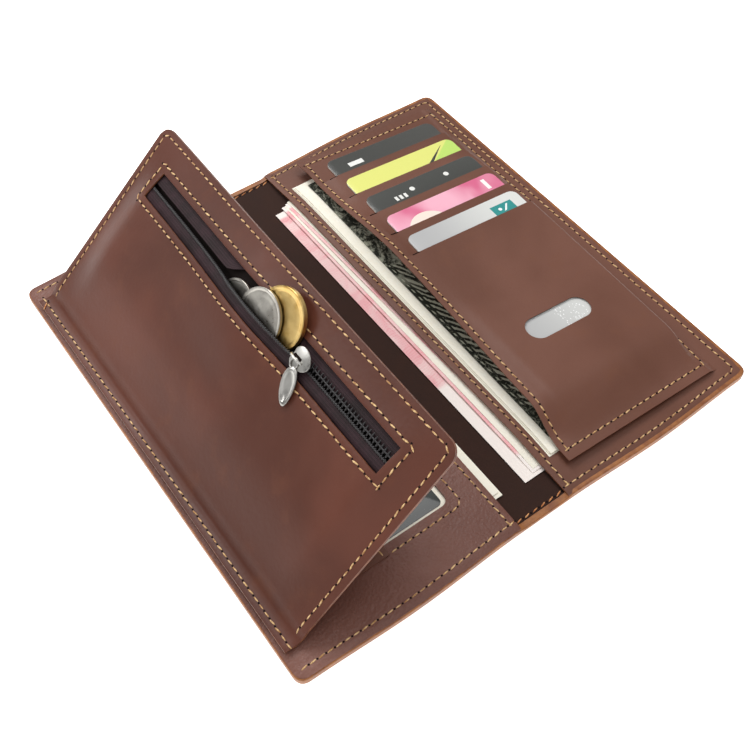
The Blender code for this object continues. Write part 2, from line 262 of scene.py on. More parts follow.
def suede(name, dark, light):
    paint = Paint(name, Specular_IOR_Level=0.15, Sheen_Weight=0.08, Sheen_Roughness=0.6)
    at = paint.place()
    nap = paint.noise(at, 3200, 3, 0.7)
    brushed = paint.noise(at, 60, 4, 0.6, 1.2)
    paint.colour(paint.mix(hex_colour(dark), hex_colour(light), nap * 0.5 + brushed * 0.45))
    paint.rough(0.85 + (brushed - 0.5) * 0.2)
    paint.bump(nap, 0.14 * MM)
    return paint.material


def thread(name, dark, light):
    """Twisted waxed thread."""
    paint = Paint(name, Specular_IOR_Level=0.4, Sheen_Weight=0.2)
    at = paint.place()
    lay = paint.noise(at, 900, 2, 0.5)
    fibre = paint.noise(at, 5200, 2, 0.6)
    paint.colour(paint.mix(hex_colour(dark), hex_colour(light), paint.level(lay, 0.3, 0.66)))
    paint.rough(0.55 + (fibre - 0.5) * 0.3)
    paint.bump(fibre, 0.06 * MM)
    return paint.material


def tape_cloth(name, dark, light):
    """Zip tape: fine ribs along the zip, woven across."""
    paint = Paint(name, Specular_IOR_Level=0.25, Sheen_Weight=0.05, Sheen_Roughness=0.4)
    u, v, _ = paint.split(paint.own_map())
    ribs = paint.node("ShaderNodeMath", {"operation": "SINE"}, {0: u * 6283})
    picks = paint.node("ShaderNodeMath", {"operation": "SINE"}, {0: v * 12566 + ribs * 0.8})
    folds = paint.noise(paint.place(), 130, 3, 0.6)
    paint.colour(paint.mix(hex_colour(dark), hex_colour(light),
                           paint.level(ribs * 0.08 + picks * 0.05 + folds, 0.2, 0.9)))
    paint.rough(0.5 + folds * 0.25)
    paint.bump(ribs * 0.5 + picks * 0.6, 0.04 * MM)
    return paint.material


def metal(name, dark, light, rough, scale=420):
    """Cast and tumbled metal, with darker patches of tarnish."""
    paint = Paint(name, Metallic=1.0)
    at = paint.place()
    tarnish = paint.noise(at, scale, 4, 0.6, 0.4)
    scratches = paint.noise(at, scale * 9, 2, 0.7)
    paint.colour(paint.mix(hex_colour(dark), hex_colour(light), paint.level(tarnish, 0.3, 0.62)))
    paint.rough(rough + (tarnish - 0.5) * 0.25 + (scratches - 0.5) * 0.12)
    paint.bump(tarnish * 0.6 + scratches * 0.5, 0.02 * MM)
    return paint.material


def coil_plastic(name):
    paint = Paint(name, Specular_IOR_Level=0.5)
    specks = paint.noise(paint.place(), 1500, 3, 0.6)
    paint.colour(paint.mix(hex_colour("0b0a0b"), hex_colour("2a2628"), specks))
    paint.rough(0.3 + specks * 0.2)
    paint.bump(specks, 0.05 * MM)
    return paint.material


def dull(name, dark, light, rough=0.9, scale=1500):
    """A plain matt surface with fine unevenness."""
    paint = Paint(name, Specular_IOR_Level=0.2)
    specks = paint.noise(paint.place(), scale, 3, 0.6)
    paint.colour(paint.mix(hex_colour(dark), hex_colour(light), specks))
    paint.rough(rough + (specks - 0.5) * 0.1)
    paint.bump(specks, 0.04 * MM)
    return paint.material


def window_film(name):
    """Clear film over a dark backing: grey, glossy, lightly rippled and dusty."""
    paint = Paint(name, Specular_IOR_Level=0.5, Coat_Weight=0.6, Coat_Roughness=0.08)
    at = paint.place()
    ripple = paint.noise(at, 42, 2, 0.5, 0.6)
    dust = paint.level(paint.noise(at, 900, 4, 0.75), 0.62, 0.74)
    tone = paint.mix(hex_colour("1f2221"), hex_colour("3f4341"), paint.level(ripple, 0.35, 0.7))
    paint.colour(paint.mix(tone, hex_colour("b8bdbb"), dust * 0.5))
    paint.rough(0.16 + dust * 0.3)
    paint.bump(ripple, 0.5 * MM)
    return paint.material


def sine(paint, value):
    return paint.node("ShaderNodeMath", {"operation": "SINE"}, {0: value})


def paper(name, base, ink, blank):
    """Note paper: fine tinted line work that stops at a plain end, generic in design."""
    paint = Paint(name, Specular_IOR_Level=0.25)
    u, v, _ = paint.split(paint.own_map())
    wobble = paint.noise(paint.place(), 130, 3, 0.6, 0.5)
    lines = sine(paint, v * 900 + wobble * 30) * 0.5 + sine(paint, u * 620 - wobble * 31) * 0.35
    areas = paint.level(paint.noise(paint.place(), 60, 3, 0.5, 1.0), 0.38, 0.6)
    printed = paint.level(v, blank, blank + 0.02) * paint.level(0.985 - v, 0, 0.01)
    mask = printed * (0.4 + 0.35 * areas + 0.25 * paint.level(lines, 0.1, 0.6))
    fibre = paint.noise(paint.place(), 1300, 3, 0.6)
    plain = paint.mix(hex_colour(base), hex_colour("ffffff"), fibre * 0.12)
    paint.colour(paint.mix(plain, hex_colour(ink), mask))
    paint.rough(0.8 + (fibre - 0.5) * 0.1)
    paint.bump(fibre + wobble * 0.5, 0.03 * MM)
    return paint.material


def engraved_paper(name):
    """A dark engraved note: swirled line work, and a row of slanted light marks by the edge."""
    paint = Paint(name, Specular_IOR_Level=0.25)
    u, v, _ = paint.split(paint.own_map())
    at = paint.place()
    swirl = paint.noise(at, 75, 4, 0.6, 2.5)
    fine = paint.noise(at, 620, 3, 0.6, 1.5)
    light = paint.level(swirl * 0.7 + fine * 0.4, 0.5, 0.66) * 0.8
    marks = paint.level(sine(paint, v * 230 + u * 160 + swirl * 9), 0.0, 0.4)
    marks = marks * (abs(u - 0.045) < 0.03) * (abs(v - 0.36) < 0.27)
    light = light * paint.level(v, 0.5, 0.64) + marks
    light = light + 0.35 * paint.level(fine, 0.52, 0.62) * paint.level(v, 0.5, 0.3)
    paint.colour(paint.mix(hex_colour("26281f"), hex_colour("c3c4b0"), light))
    paint.rough(0.7 + (fine - 0.5) * 0.2)
    paint.bump(fine, 0.03 * MM)
    return paint.material


def card_paint(name, design):
    """A printed plastic card; design(paint, x, y) gives its colour, x and y in millimetres."""
    paint = Paint(name, Specular_IOR_Level=0.5, Coat_Weight=0.35, Coat_Roughness=0.15)
    u, v, _ = paint.split(paint.own_map())
    grain = paint.noise(paint.place(), 2600, 2, 0.6)
    paint.colour(design(paint, u * 54, v * 85.6))
    paint.rough(0.34 + (grain - 0.5) * 0.1)
    paint.bump(grain, 0.015 * MM)
    return paint.material


def patch(x, y, left, right, low, high):
    """1 inside a rectangle on a card, in millimetres from its near left corner."""
    return (x > left) * (x < right) * (y > low) * (y < high)


def dot(x, y, cx, cy, radius):
    dx = x - cx
    dy = y - cy
    return (dx * dx + dy * dy) < radius * radius


def charcoal_card(paint, x, y):
    sheen = paint.level(x, 0, 54)
    base = paint.mix(hex_colour("363733"), hex_colour("40403c"), sheen)
    return paint.mix(base, hex_colour("eeeeea"), patch(x, y, 8, 15, 78.2, 80.6))


def lime_card(paint, x, y):
    base = paint.mix(hex_colour("e3e57a"), hex_colour("bfe06a"), paint.level(x - (y - 76) * 1.4, 39, 40))
    notch = (abs(x - 37.5 - (y - 76) * 1.4) < (84 - y) * 0.16) * (y > 75.5) * (y < 83.5)
    return paint.mix(base, hex_colour("33302c"), notch)


def graphite_card(paint, x, y):
    base = paint.mix(hex_colour("343531"), hex_colour("3e3f3b"), paint.level(y, 70, 86))
    marks = dot(x, y, 20.5, 80.6, 1.15) + dot(x, y, 38, 80.9, 1.15)
    for step in range(3):
        marks = marks + patch(x, y, 11 + step * 2.2, 12.3 + step * 2.2, 77.6, 80)
    return paint.mix(base, hex_colour("e9e9e4"), marks)


def rose_card(paint, x, y):
    waves = paint.noise(paint.own_map(), 3.2, 2, 0.5, 0.4)
    base = paint.mix(hex_colour("d9638a"), hex_colour("f4b3c6"), paint.level(waves, 0.35, 0.66))
    blob = dot(x, y, 14, 71, 9.5)
    base = paint.mix(base, hex_colour("fbeadb"), blob * 0.92)
    return paint.mix(base, hex_colour("fff6f2"), patch(x, y, 46.5, 48.3, 77.6, 83.5))


def pearl_card(paint, x, y):
    base = paint.mix(hex_colour("b3b3b3"), hex_colour("dedfdb"), paint.level(x, 4, 50))
    square = patch(x, y, 38.5, 49, 76.6, 81.6)
    inner = (abs(x - 45 - (y - 79) * 0.8) < 0.5) * (abs(y - 79) < 1.6) + dot(x, y, 42, 79, 0.8)
    base = paint.mix(base, hex_colour("1f8f8c"), square)
    base = paint.mix(base, hex_colour("f4f7f5"), inner)
    lumps = paint.cells(paint.own_map(), 62)
    foil = patch(x, y, 24, 36, 17, 28) * (lumps < 0.24)
    return paint.mix(base, hex_colour("ffffff"), foil * 0.8)


def make_materials():
    made = {
        "flap": leather("flap_leather", "51281a", "653627", "6a3a23", 1.5 * MM, 0.03 * MM, 0.44),
        "panel": leather("panel_leather", "633b2b", "734a3b", "744731", 1.4 * MM, 0.04 * MM, 0.5),
        "pebbled": leather("pebbled_leather", "6c4337", "865c50", "774a3b", 1.0 * MM, 0.16 * MM, 0.4),
        "outer": leather("outer_leather", "54301f", "714535", "6b3e2a", 1.1 * MM, 0.13 * MM, 0.46),
        "edge": edge_paint("edge_paint", "7f461e", "a36733"),
        "thin_edge": edge_paint("thin_edge_paint", "5c3321", "865236"),
        "suede": suede("suede_lining", "1e100c", "442a20"),
        "thread": thread("seam_thread", "a97640", "eac58c"),
        # near-black painted shade, standing for the dark inside needle holes, the slider's slot and the
        # slit ends
        "orange_thread": thread("orange_thread", "b5662f", "e5a468"),
        "hole": dull("painted_hole_shade", "120807", "1d0f0c"),
        "tape": tape_cloth("zip_tape_cloth", "1d1112", "3c262c"),
        "coil": coil_plastic("zip_coil_plastic"),
        "nickel": metal("antique_nickel", "8e8c88", "bdbbb6", 0.3, 150),
        "silver": metal("silver_coin_metal", "96918a", "bcb8b0", 0.32, 130),
        "gold": metal("gold_coin_metal", "c39b52", "dcbd7c", 0.32, 130),
        "card_edge": dull("card_edge_plastic", "d8d8d2", "f2f2ec", 0.4),
        # near-black backing fabric; where it shows beside the window film it is painted shadow
        "dark": dull("dark_backing", "0a0909", "171515", 0.7),
        "film": window_film("window_film"),
        "pocket": dull("pocket_cloth", "17110f", "2c2320", 0.85),
        "pink": paper("pink_note_paper", "fdf3ec", "ee9fa6", 0.3),
        "rosy": paper("rosy_note_paper", "fdf4ee", "f6a6ac", 0.045),
        "green": engraved_paper("green_note_paper"),
        "cream": dull("cream_paper", "f8f1dc", "fffdf2", 0.8, 700),
    }
    designs = (charcoal_card, lime_card, graphite_card, rose_card, pearl_card)
    for index, design in enumerate(designs):
        made["card_%d" % (index + 1)] = card_paint("card_print_%d" % (index + 1), design)
    return made


# ---------------------------------------------------------------- mesh tools

def new_object(name, bm, materials):
    mesh = bpy.data.meshes.new(name)
    bm.normal_update()
    bm.to_mesh(mesh)
    bm.free()
    obj = bpy.data.objects.new(name, mesh)
    for material in materials:
        mesh.materials.append(MATERIALS[material])
    bpy.context.scene.collection.objects.link(obj)
    return obj


def baked(obj):
    """Replace an object's modifiers with the plain mesh that they give."""
    bpy.context.view_layer.update()
    graph = bpy.context.evaluated_depsgraph_get()
    mesh = bpy.data.meshes.new_from_object(obj.evaluated_get(graph), depsgraph=graph)
    obj.modifiers.clear()
    if obj.type == "MESH":
        obj.data = mesh
        return obj
    name = obj.name
    bpy.data.objects.remove(obj)
    made = bpy.data.objects.new(name, mesh)
    bpy.context.scene.collection.objects.link(made)
    return made


def smooth(obj, angle=40):
    obj.data.shade_smooth()
    obj.data.set_sharp_from_angle(angle=math.radians(angle))
    return obj


def place_on(obj, body, slot, *nodes):
    """Attach a finished piece to its body, or bake it where it lies if the body is a tuple, and hide the
    solids that it stands for; the slot argument is not used.
    """
    if isinstance(body, tuple):
        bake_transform(obj)
    else:
        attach(obj, body)
    if nodes:
        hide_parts(*nodes)
    return obj


def spread(low, high, step, *marks):
    """Evenly spaced values from low to high that also pass through the marks."""
    stops = sorted({low, high, *[m for m in marks if low < m < high]})
    values = []
    for a, b in zip(stops, stops[1:]):
        count = max(1, round((b - a) / step))
        values += [a + (b - a) * i / count for i in range(count)]
    return values + [high]


def rounded_rows(rows, low, high, radius):
    """Extra rows near both ends, where corners are rounded."""
    extra = []
    for i in range(7):
        turn = radius * (1 - math.cos(math.pi / 2 * i / 6))
        extra += [low + turn, high - turn]
    kept = [y for y in rows if low + radius < y < high - radius]
    return sorted(set(round(v, 7) for v in kept + extra + [low, high]))


def corner_pull(y, low, high, radius):
    """How far a rounded corner draws the side in at height y."""
    past = max(low + radius - y, y - (high - radius), 0)
    return radius - math.sqrt(max(radius * radius - past * past, 0))


def sheet(name, columns, rows, surface, thickness, materials, skip=None, left_r=0, right_r=0,
          rim=0.16 * MM):
    """A leather or paper layer: a grid laid on surface(x, y), given thickness below it.

    left_r and right_r round the corners on either side, and skip(x, y) leaves an opening.
    The second material, if there is one, is the cut edge.
    """
    bm = bmesh.new()
    uv = bm.loops.layers.uv.new("flat")
    low, high = columns[0], columns[-1]
    near, far = rows[0], rows[-1]
    grid = []
    flat = {}
    for y in rows:
        pull_l = corner_pull(y, near, far, left_r) if left_r else 0
        pull_r = corner_pull(y, near, far, right_r) if right_r else 0
        line = []
        for x in columns:
            share = (x - low) / (high - low)
            drawn = x + pull_l * max(0, 1 - share * 6) - pull_r * max(0, 1 - (1 - share) * 6)
            vert = bm.verts.new(surface(drawn, y))
            flat[vert] = (drawn, y)
            line.append(vert)
        grid.append(line)
    for j in range(len(rows) - 1):
        for i in range(len(columns) - 1):
            middle = ((columns[i] + columns[i + 1]) / 2, (rows[j] + rows[j + 1]) / 2)
            if skip and skip(*middle):
                continue
            face = bm.faces.new((grid[j][i], grid[j][i + 1], grid[j + 1][i + 1], grid[j + 1][i]))
            for loop in face.loops:
                loop[uv].uv = flat[loop.vert]
    loose = [vert for vert in bm.verts if not vert.link_faces]
    bmesh.ops.delete(bm, geom=loose, context="VERTS")
    obj = new_object(name, bm, materials)
    solidify = obj.modifiers.new("thickness", "SOLIDIFY")
    solidify.thickness = thickness
    solidify.offset = -1
    solidify.use_even_offset = True
    if len(materials) > 1:
        solidify.material_offset_rim = 1
    if rim:
        bevel = obj.modifiers.new("rim", "BEVEL")
        bevel.width = rim
        bevel.segments = 2
        bevel.limit_method = "ANGLE"
        bevel.angle_limit = math.radians(60)
    return obj


def rounded_box(name, x, y, z, radius, edge, material, segments=6):
    """A plate with rounded corners and softened rims."""
    bm = bmesh.new()
    bmesh.ops.create_cube(bm, size=1)
    for vert in bm.verts:
        vert.co.x = x[0] + (vert.co.x + 0.5) * (x[1] - x[0])
        vert.co.y = y[0] + (vert.co.y + 0.5) * (y[1] - y[0])
        vert.co.z = z[0] + (vert.co.z + 0.5) * (z[1] - z[0])
    if radius:
        upright = [e for e in bm.edges
                   if abs(e.verts[0].co.z - e.verts[1].co.z) > (z[1] - z[0]) * 0.5]
        bmesh.ops.bevel(bm, geom=upright, offset=radius, segments=segments, profile=0.5,
                        affect="EDGES")
    if edge:
        rims = [e for e in bm.edges if abs(e.verts[0].co.z - e.verts[1].co.z) < 1e-7
                and len(e.link_faces) == 2
                and abs(e.link_faces[0].normal.dot(e.link_faces[1].normal)) < 0.5]
        bmesh.ops.bevel(bm, geom=rims, offset=edge, segments=3, profile=0.5, affect="EDGES")
    return new_object(name, bm, [material])


def cut_out(obj, cutter):
    """Cut a shape through a finished piece, and drop the cutter."""
    modifier = obj.modifiers.new("opening", "BOOLEAN")
    modifier.operation = "DIFFERENCE"
    modifier.solver = "EXACT"
    modifier.object = cutter
    cutter.hide_render = True
    baked(obj)
    bpy.data.objects.remove(cutter)
    return obj


# ---------------------------------------------------------------- seams and teeth

class Growth:
    """A Geometry Nodes tree, built node by node."""

    def __init__(self, name, inputs):
        self.tree = bpy.data.node_groups.new(name, "GeometryNodeTree")
        face = self.tree.interface
        face.new_socket("Geometry", in_out="INPUT", socket_type="NodeSocketGeometry")
        for label, kind in inputs:
            face.new_socket(label, in_out="INPUT", socket_type="NodeSocket" + kind)
        face.new_socket("Geometry", in_out="OUTPUT", socket_type="NodeSocketGeometry")
        self.inside = self.tree.nodes.new("NodeGroupInput")
        self.out = self.tree.nodes.new("NodeGroupOutput")

    def node(self, kind, settings, inputs):
        made = self.tree.nodes.new(kind)
        for key, value in settings.items():
            setattr(made, key, value)
        for key, value in inputs.items():
            if isinstance(value, bpy.types.NodeSocket):
                self.tree.links.new(value, made.inputs[key])
            else:
                made.inputs[key].default_value = value
        return made.outputs

    def given(self, name):
        return self.inside.outputs[name]

    def finish(self, geometry):
        self.tree.links.new(geometry, self.out.inputs[0])

    def run(self, obj, values):
        modifier = obj.modifiers.new("growth", "NODES")
        modifier.node_group = self.tree
        for item in self.tree.interface.items_tree:
            if item.in_out == "INPUT" and item.name in values:
                modifier[item.identifier] = values[item.name]
        return baked(obj)


def facing(growth, tangent, up):
    """A rotation with X along the path and Z along the given surface direction."""
    along = growth.node("FunctionNodeAlignRotationToVector", {"axis": "X"}, {"Vector": tangent})
    return growth.node("FunctionNodeAlignRotationToVector", {"axis": "Z", "pivot_axis": "X"},
                       {"Rotation": along[0], "Vector": up})[0]


def stitch_tree():
    """Stitches, and dark dots of painted shade at their needle holes, at an even pitch along a path."""
    growth = Growth("stitch_row", [("Pitch", "Float"), ("Length", "Float"), ("Width", "Float"),
                                   ("Height", "Float"), ("Hole", "Float"), ("Slant", "Float"),
                                   ("Up", "Vector"), ("Seed", "Int"),
                                   ("Thread", "Material"), ("Dark", "Material")])
    path = growth.given("Geometry")
    points = growth.node("GeometryNodeCurveToPoints", {"mode": "LENGTH"},
                         {"Curve": path, "Length": growth.given("Pitch")})
    turned = facing(growth, points["Tangent"], growth.given("Up"))
    jitter = growth.node("FunctionNodeRandomValue", {"data_type": "FLOAT"},
                         {2: -0.09, 3: 0.09, "Seed": growth.given("Seed")})
    angle = growth.node("ShaderNodeMath", {"operation": "ADD"},
                        {0: jitter[1], 1: growth.given("Slant")})
    spin = growth.node("ShaderNodeCombineXYZ", {}, {"Z": angle[0]})
    as_turn = growth.node("FunctionNodeEulerToRotation", {}, {0: spin[0]})
    slanted = growth.node("FunctionNodeRotateRotation", {"rotation_space": "LOCAL"},
                          {"Rotation": turned, "Rotate By": as_turn[0]})
    ball = growth.node("GeometryNodeMeshUVSphere", {}, {"Segments": 10, "Rings": 7, "Radius": 0.5})
    size = growth.node("ShaderNodeCombineXYZ", {},
                       {"X": growth.given("Length"), "Y": growth.given("Width"),
                        "Z": growth.given("Height")})
    stitch = growth.node("GeometryNodeTransform", {}, {"Geometry": ball[0], "Scale": size[0]})
    vary = growth.node("FunctionNodeRandomValue", {"data_type": "FLOAT"},
                       {2: 0.86, 3: 1.06, "Seed": growth.given("Seed")})
    stitches = growth.node("GeometryNodeInstanceOnPoints", {},
                           {"Points": points["Points"], "Instance": stitch[0],
                            "Rotation": slanted[0], "Scale": vary[1]})
    half = growth.node("ShaderNodeMath", {"operation": "MULTIPLY"},
                       {0: growth.given("Pitch"), 1: 0.5})
    shift = growth.node("ShaderNodeVectorMath", {"operation": "SCALE"},
                        {0: points["Tangent"], "Scale": half[0]})
    moved = growth.node("GeometryNodeSetPosition", {},
                        {"Geometry": points["Points"], "Offset": shift[0]})
    pit_size = growth.node("ShaderNodeCombineXYZ", {},
                           {"X": growth.given("Hole"), "Y": growth.given("Hole"),
                            "Z": 0.14 * MM})
    pit = growth.node("GeometryNodeTransform", {}, {"Geometry": ball[0], "Scale": pit_size[0]})
    pits = growth.node("GeometryNodeInstanceOnPoints", {},
                       {"Points": moved[0], "Instance": pit[0], "Rotation": turned})
    thread_mesh = growth.node("GeometryNodeSetMaterial", {},
                              {"Geometry": stitches[0], "Material": growth.given("Thread")})
    # the needle holes take the Dark material: painted shade inside each hole
    pit_mesh = growth.node("GeometryNodeSetMaterial", {},
                           {"Geometry": pits[0], "Material": growth.given("Dark")})
    both = growth.node("GeometryNodeJoinGeometry", {}, {})
    for part in (thread_mesh[0], pit_mesh[0]):
        growth.tree.links.new(part, both[0].node.inputs[0])
    real = growth.node("GeometryNodeRealizeInstances", {}, {"Geometry": both[0]})
    growth.finish(real[0])
    return growth


def teeth_tree():
    """Zip coil: a rounded tooth across the path at every pitch."""
    growth = Growth("coil_row", [("Pitch", "Float"), ("Across", "Float"), ("Thick", "Float"),
                                 ("Up", "Vector"), ("Plastic", "Material")])
    points = growth.node("GeometryNodeCurveToPoints", {"mode": "LENGTH"},
                         {"Curve": growth.given("Geometry"), "Length": growth.given("Pitch")})
    turned = facing(growth, points["Tangent"], growth.given("Up"))
    ball = growth.node("GeometryNodeMeshUVSphere", {}, {"Segments": 10, "Rings": 7, "Radius": 0.5})
    size = growth.node("ShaderNodeCombineXYZ", {},
                       {"X": growth.given("Thick"), "Y": growth.given("Across"),
                        "Z": growth.given("Thick")})
    tooth = growth.node("GeometryNodeTransform", {}, {"Geometry": ball[0], "Scale": size[0]})
    teeth = growth.node("GeometryNodeInstanceOnPoints", {},
                        {"Points": points["Points"], "Instance": tooth[0], "Rotation": turned})
    cased = growth.node("GeometryNodeSetMaterial", {},
                        {"Geometry": teeth[0], "Material": growth.given("Plastic")})
    real = growth.node("GeometryNodeRealizeInstances", {}, {"Geometry": cased[0]})
    growth.finish(real[0])
    return growth


def path_curve(name, points):
    curve = bpy.data.curves.new(name, "CURVE")
    curve.dimensions = "3D"
    spline = curve.splines.new("POLY")
    spline.points.add(len(points) - 1)
    for spot, point in zip(spline.points, points):
        spot.co = (*point, 1)
    obj = bpy.data.objects.new(name, curve)
    bpy.context.scene.collection.objects.link(obj)
    return obj


def seam(name, points, body, up=(0, 0, 1), colour="thread", slot="cover_leather", slant=0.12,
         pitch=STITCH, seed=1):
    """A row of stitches along a line of points."""
    # needle holes get the near-black painted hole shade
    row = STITCHES.run(path_curve(name, points),
                       {"Pitch": pitch, "Length": pitch * 0.8, "Width": THREAD * 1.35,
                        "Height": THREAD * 1.1, "Hole": 0.75 * MM, "Slant": slant,
                        "Up": up, "Seed": seed, "Thread": MATERIALS[colour],
                        "Dark": MATERIALS["hole"]})
    row.data.shade_smooth()
    return place_on(row, body, slot)


def walk(corners, step=1.5 * MM, radius=0.0):
    """Points along a line through the corners, each rounded by the radius."""
    points = []
    for i, corner in enumerate(corners):
        corner = Vector(corner)
        inner = radius > 0 and 0 < i < len(corners) - 1
        if not inner:
            points.append(corner)
            continue
        before = (Vector(corners[i - 1]) - corner).normalized() * radius
        after = (Vector(corners[i + 1]) - corner).normalized() * radius
        for k in range(7):
            t = k / 6
            points.append(corner + before * (1 - t) ** 2 + after * t * t)
    line = [points[0]]
    for a, b in zip(points, points[1:]):
        count = max(1, round((b - a).length / step))
        line += [a + (b - a) * (k / count) for k in range(1, count + 1)]
    return line


# ---------------------------------------------------------------- surfaces

def near_bow(x):
    """The near and far ends of each cover swell out slightly between spine and corner."""
    share = min(max((abs(x) - SPINE_HALF) / (HALF_W - SPINE_HALF), 0), 1)
    return 1.2 * MM * math.sin(math.pi * share) ** 2


def edge_roll(x, y):
    """How far a stitched border rolls down towards the cut edge."""
    away = min(PANEL_HALF_W - abs(x), PANEL_HALF_L - abs(y))
    return 0.35 * MM * (1 - ease(0, 2.4 * MM, away))


def seam_groove(x, y):
    """How far the stitches of the outer seams draw the leather down."""
    return 0.1 * MM * (hump(abs(x) - EDGE_SEAM_X, 0.7 * MM) + hump(abs(y) - END_SEAM_Y, 0.7 * MM))


def id_surface(x, y):
    lift = 0.35 * MM * (1 - ease(0, 14 * MM, abs(x + 10.5 * MM))) * (1 - ease(60 * MM, 92 * MM, abs(y)))
    window = max(hump(x + 20.3 * MM, 0.8 * MM), 0) * (-76 * MM < y < 16 * MM)
    z = PANEL_Z - edge_roll(x, y) + lift - 0.12 * MM * window
    z -= seam_groove(x, y)
    z += 0.12 * MM * math.sin(x * 70) * math.sin(y * 55 + 1)
    return Vector((x, y + math.copysign(near_bow(x) * ease(70 * MM, 93 * MM, abs(y)), y), z))


def divider_surface(x, y):
    lift = 2.0 * MM * (1 - ease(10 * MM, 60 * MM, x)) * (1 - ease(66 * MM, 91 * MM, abs(y)))
    z = BORDER_Z + lift - edge_roll(x, y)
    z -= seam_groove(x, y)
    return Vector((x, y + math.copysign(near_bow(x) * ease(70 * MM, 93 * MM, abs(y)), y), z))


def front_level(r, y):
    """Inner face of the flap's front leather, swollen over the coins."""
    across = ease(0, 34 * MM, r) * (1 - ease(56 * MM, 80 * MM, r))
    along = 1 - ease(68 * MM, 83 * MM, abs(y))
    reach = 26 * MM if y > -MM else 18.5 * MM
    coins = hump(y + MM, reach) * ease(30 * MM, 56 * MM, r) * (1 - ease(62 * MM, 68 * MM, r))
    return 0.75 * MM + 3.45 * MM * across * along + 2.6 * MM * coins


def zip_parting(y):
    """1 where the coins hold the zip open, 0 where its rows run side by side."""
    return ease(-23 * MM, -18 * MM, y) * (1 - ease(12 * MM, 21 * MM, y))


def flap_point(r, y, h):
    """A point of the coin flap, which twists a little and bends at its hinge."""
    angle = FLAP_ANGLE - FLAP_TWIST * ease(10 * MM, FLAP_HALF, y)
    turned = Vector((r * math.cos(angle) - h * math.sin(angle), 0,
                     r * math.sin(angle) + h * math.cos(angle)))
    flat = Vector((r, 0, h))
    point = PIVOT + flat.lerp(turned, ease(-3 * MM, 6 * MM, r))
    point.y = y
    return point


def flap_up(y=0):
    angle = FLAP_ANGLE - FLAP_TWIST * ease(10 * MM, FLAP_HALF, y)
    return Vector((-math.sin(angle), 0, math.cos(angle)))


def flap_skin(r, y):
    h = front_level(max(r, 0), y) + FLAP_SKIN
    h -= 0.12 * MM * (hump(r - 79.2 * MM, 0.8 * MM) + hump(abs(y) - 82.2 * MM, 0.8 * MM))
    away = min(FLAP_REACH - r, FLAP_HALF - abs(y))
    h -= 0.25 * MM * (1 - ease(0, 1.6 * MM, away))
    return flap_point(r, y, h)


def panel_point(u, v, w):
    """A point of the card panel, turned and tilted as it lies."""
    x = u * math.cos(CARD_TILT) + w * math.sin(CARD_TILT)
    z = -u * math.sin(CARD_TILT) + w * math.cos(CARD_TILT)
    return CARD_SEAM + Vector((x * math.cos(CARD_YAW) - v * math.sin(CARD_YAW),
                               x * math.sin(CARD_YAW) + v * math.cos(CARD_YAW), z))


def mouth(index):
    """Where slit number index (1 to 5) opens, along the card panel."""
    return LAST_MOUTH + (5 - index) * CARD_PITCH


def band_top(band):
    """Face of the leather between two slits; band 0 is the far border, band 5 the front."""
    if band == 0:
        return FIRST_CARD - 0.06 * MM
    if band == 5:
        return FIRST_CARD + 4 * LAYER + CARD_T + 0.75 * MM
    return FIRST_CARD + band * LAYER - 0.06 * MM


def border_height(v):
    """Height of the card panel's spine-side border, which the notes below lift in the middle."""
    high = 4.9 * MM + 2.0 * MM * ease(-64 * MM, 2 * MM, v)
    high = 0.6 * MM + (high - 0.6 * MM) * (1 - ease(14 * MM, 70 * MM, v))
    return SEAM_W + (high - SEAM_W) * ease(-84 * MM, -66 * MM, v)


def slump(v):
    """Share of the card panel's tilt that is lost where its ends are sewn down."""
    return 0.75 * (1 - ease(-86 * MM, -63 * MM, v)) + 0.35 * ease(77 * MM, 88 * MM, v)


def panel_skin(band):
    """The card panel's face, with steps at the slits."""
    def surface(u, v):
        in_slits = ease(SLIT_U[0] - 6 * MM, SLIT_U[0] + 0.3 * MM, u)
        in_slits *= 1 - ease(SLIT_U[1] - 0.1 * MM, SLIT_U[1] + 2.2 * MM, u)
        steps = (mouth(1) + CARD_PITCH / 2 - v) / CARD_PITCH
        even = band_top(0) + (band_top(5) - band_top(0)) * ease(-0.4, 5, steps)
        outer = SEAM_W + (even - SEAM_W) * (1 - ease(SLIT_U[1] + 0.2 * MM, 0, u))
        beside = border_height(v) if u < -30 * MM else outer
        w = beside * (1 - in_slits) + band_top(band) * in_slits
        ends = ease(PANEL_V[0] + 3 * MM, -66 * MM, v) * (1 - ease(79 * MM, 85 * MM, v))
        if w > SEAM_W:
            w = SEAM_W + (w - SEAM_W) * ends
        point = panel_point(u, v, w)
        point.z += u * math.sin(CARD_TILT) * slump(v) if u < 0 else 0
        if u > -1 * MM:
            flat = divider_surface(point.x, point.y).z + (0.12 - 0.5 * ease(-84 * MM, -76 * MM, v)) * MM
            point.z += (flat - point.z) * ease(-1 * MM, PANEL_U[1], u)
        return point
    return surface


def panel_face(u, v):
    """The card panel's face at any place, for seams."""
    band = sum(1 for k in range(1, 6) if v < mouth(k))
    return panel_skin(band)(u, v)


# ---------------------------------------------------------------- covers

def bead_section(height):
    """Rounded cross-section of the painted edge: outward offset and height."""
    width = 2.4 * MM
    r = 0.55 * MM
    points = []
    for k in range(5):
        a = math.pi / 2 * k / 4
        points.append((-r + r * math.sin(a), r - r * math.cos(a)))
    for k in range(5):
        a = math.pi / 2 * k / 4
        points.append((-r + r * math.cos(a), height - r + r * math.sin(a)))
    return points + [(-width, height), (-width, 0)]


def edge_height(x):
    return SPINE_EDGE_HEIGHT + (EDGE_HEIGHT - SPINE_EDGE_HEIGHT) * ease(8.5 * MM, 13 * MM, abs(x))


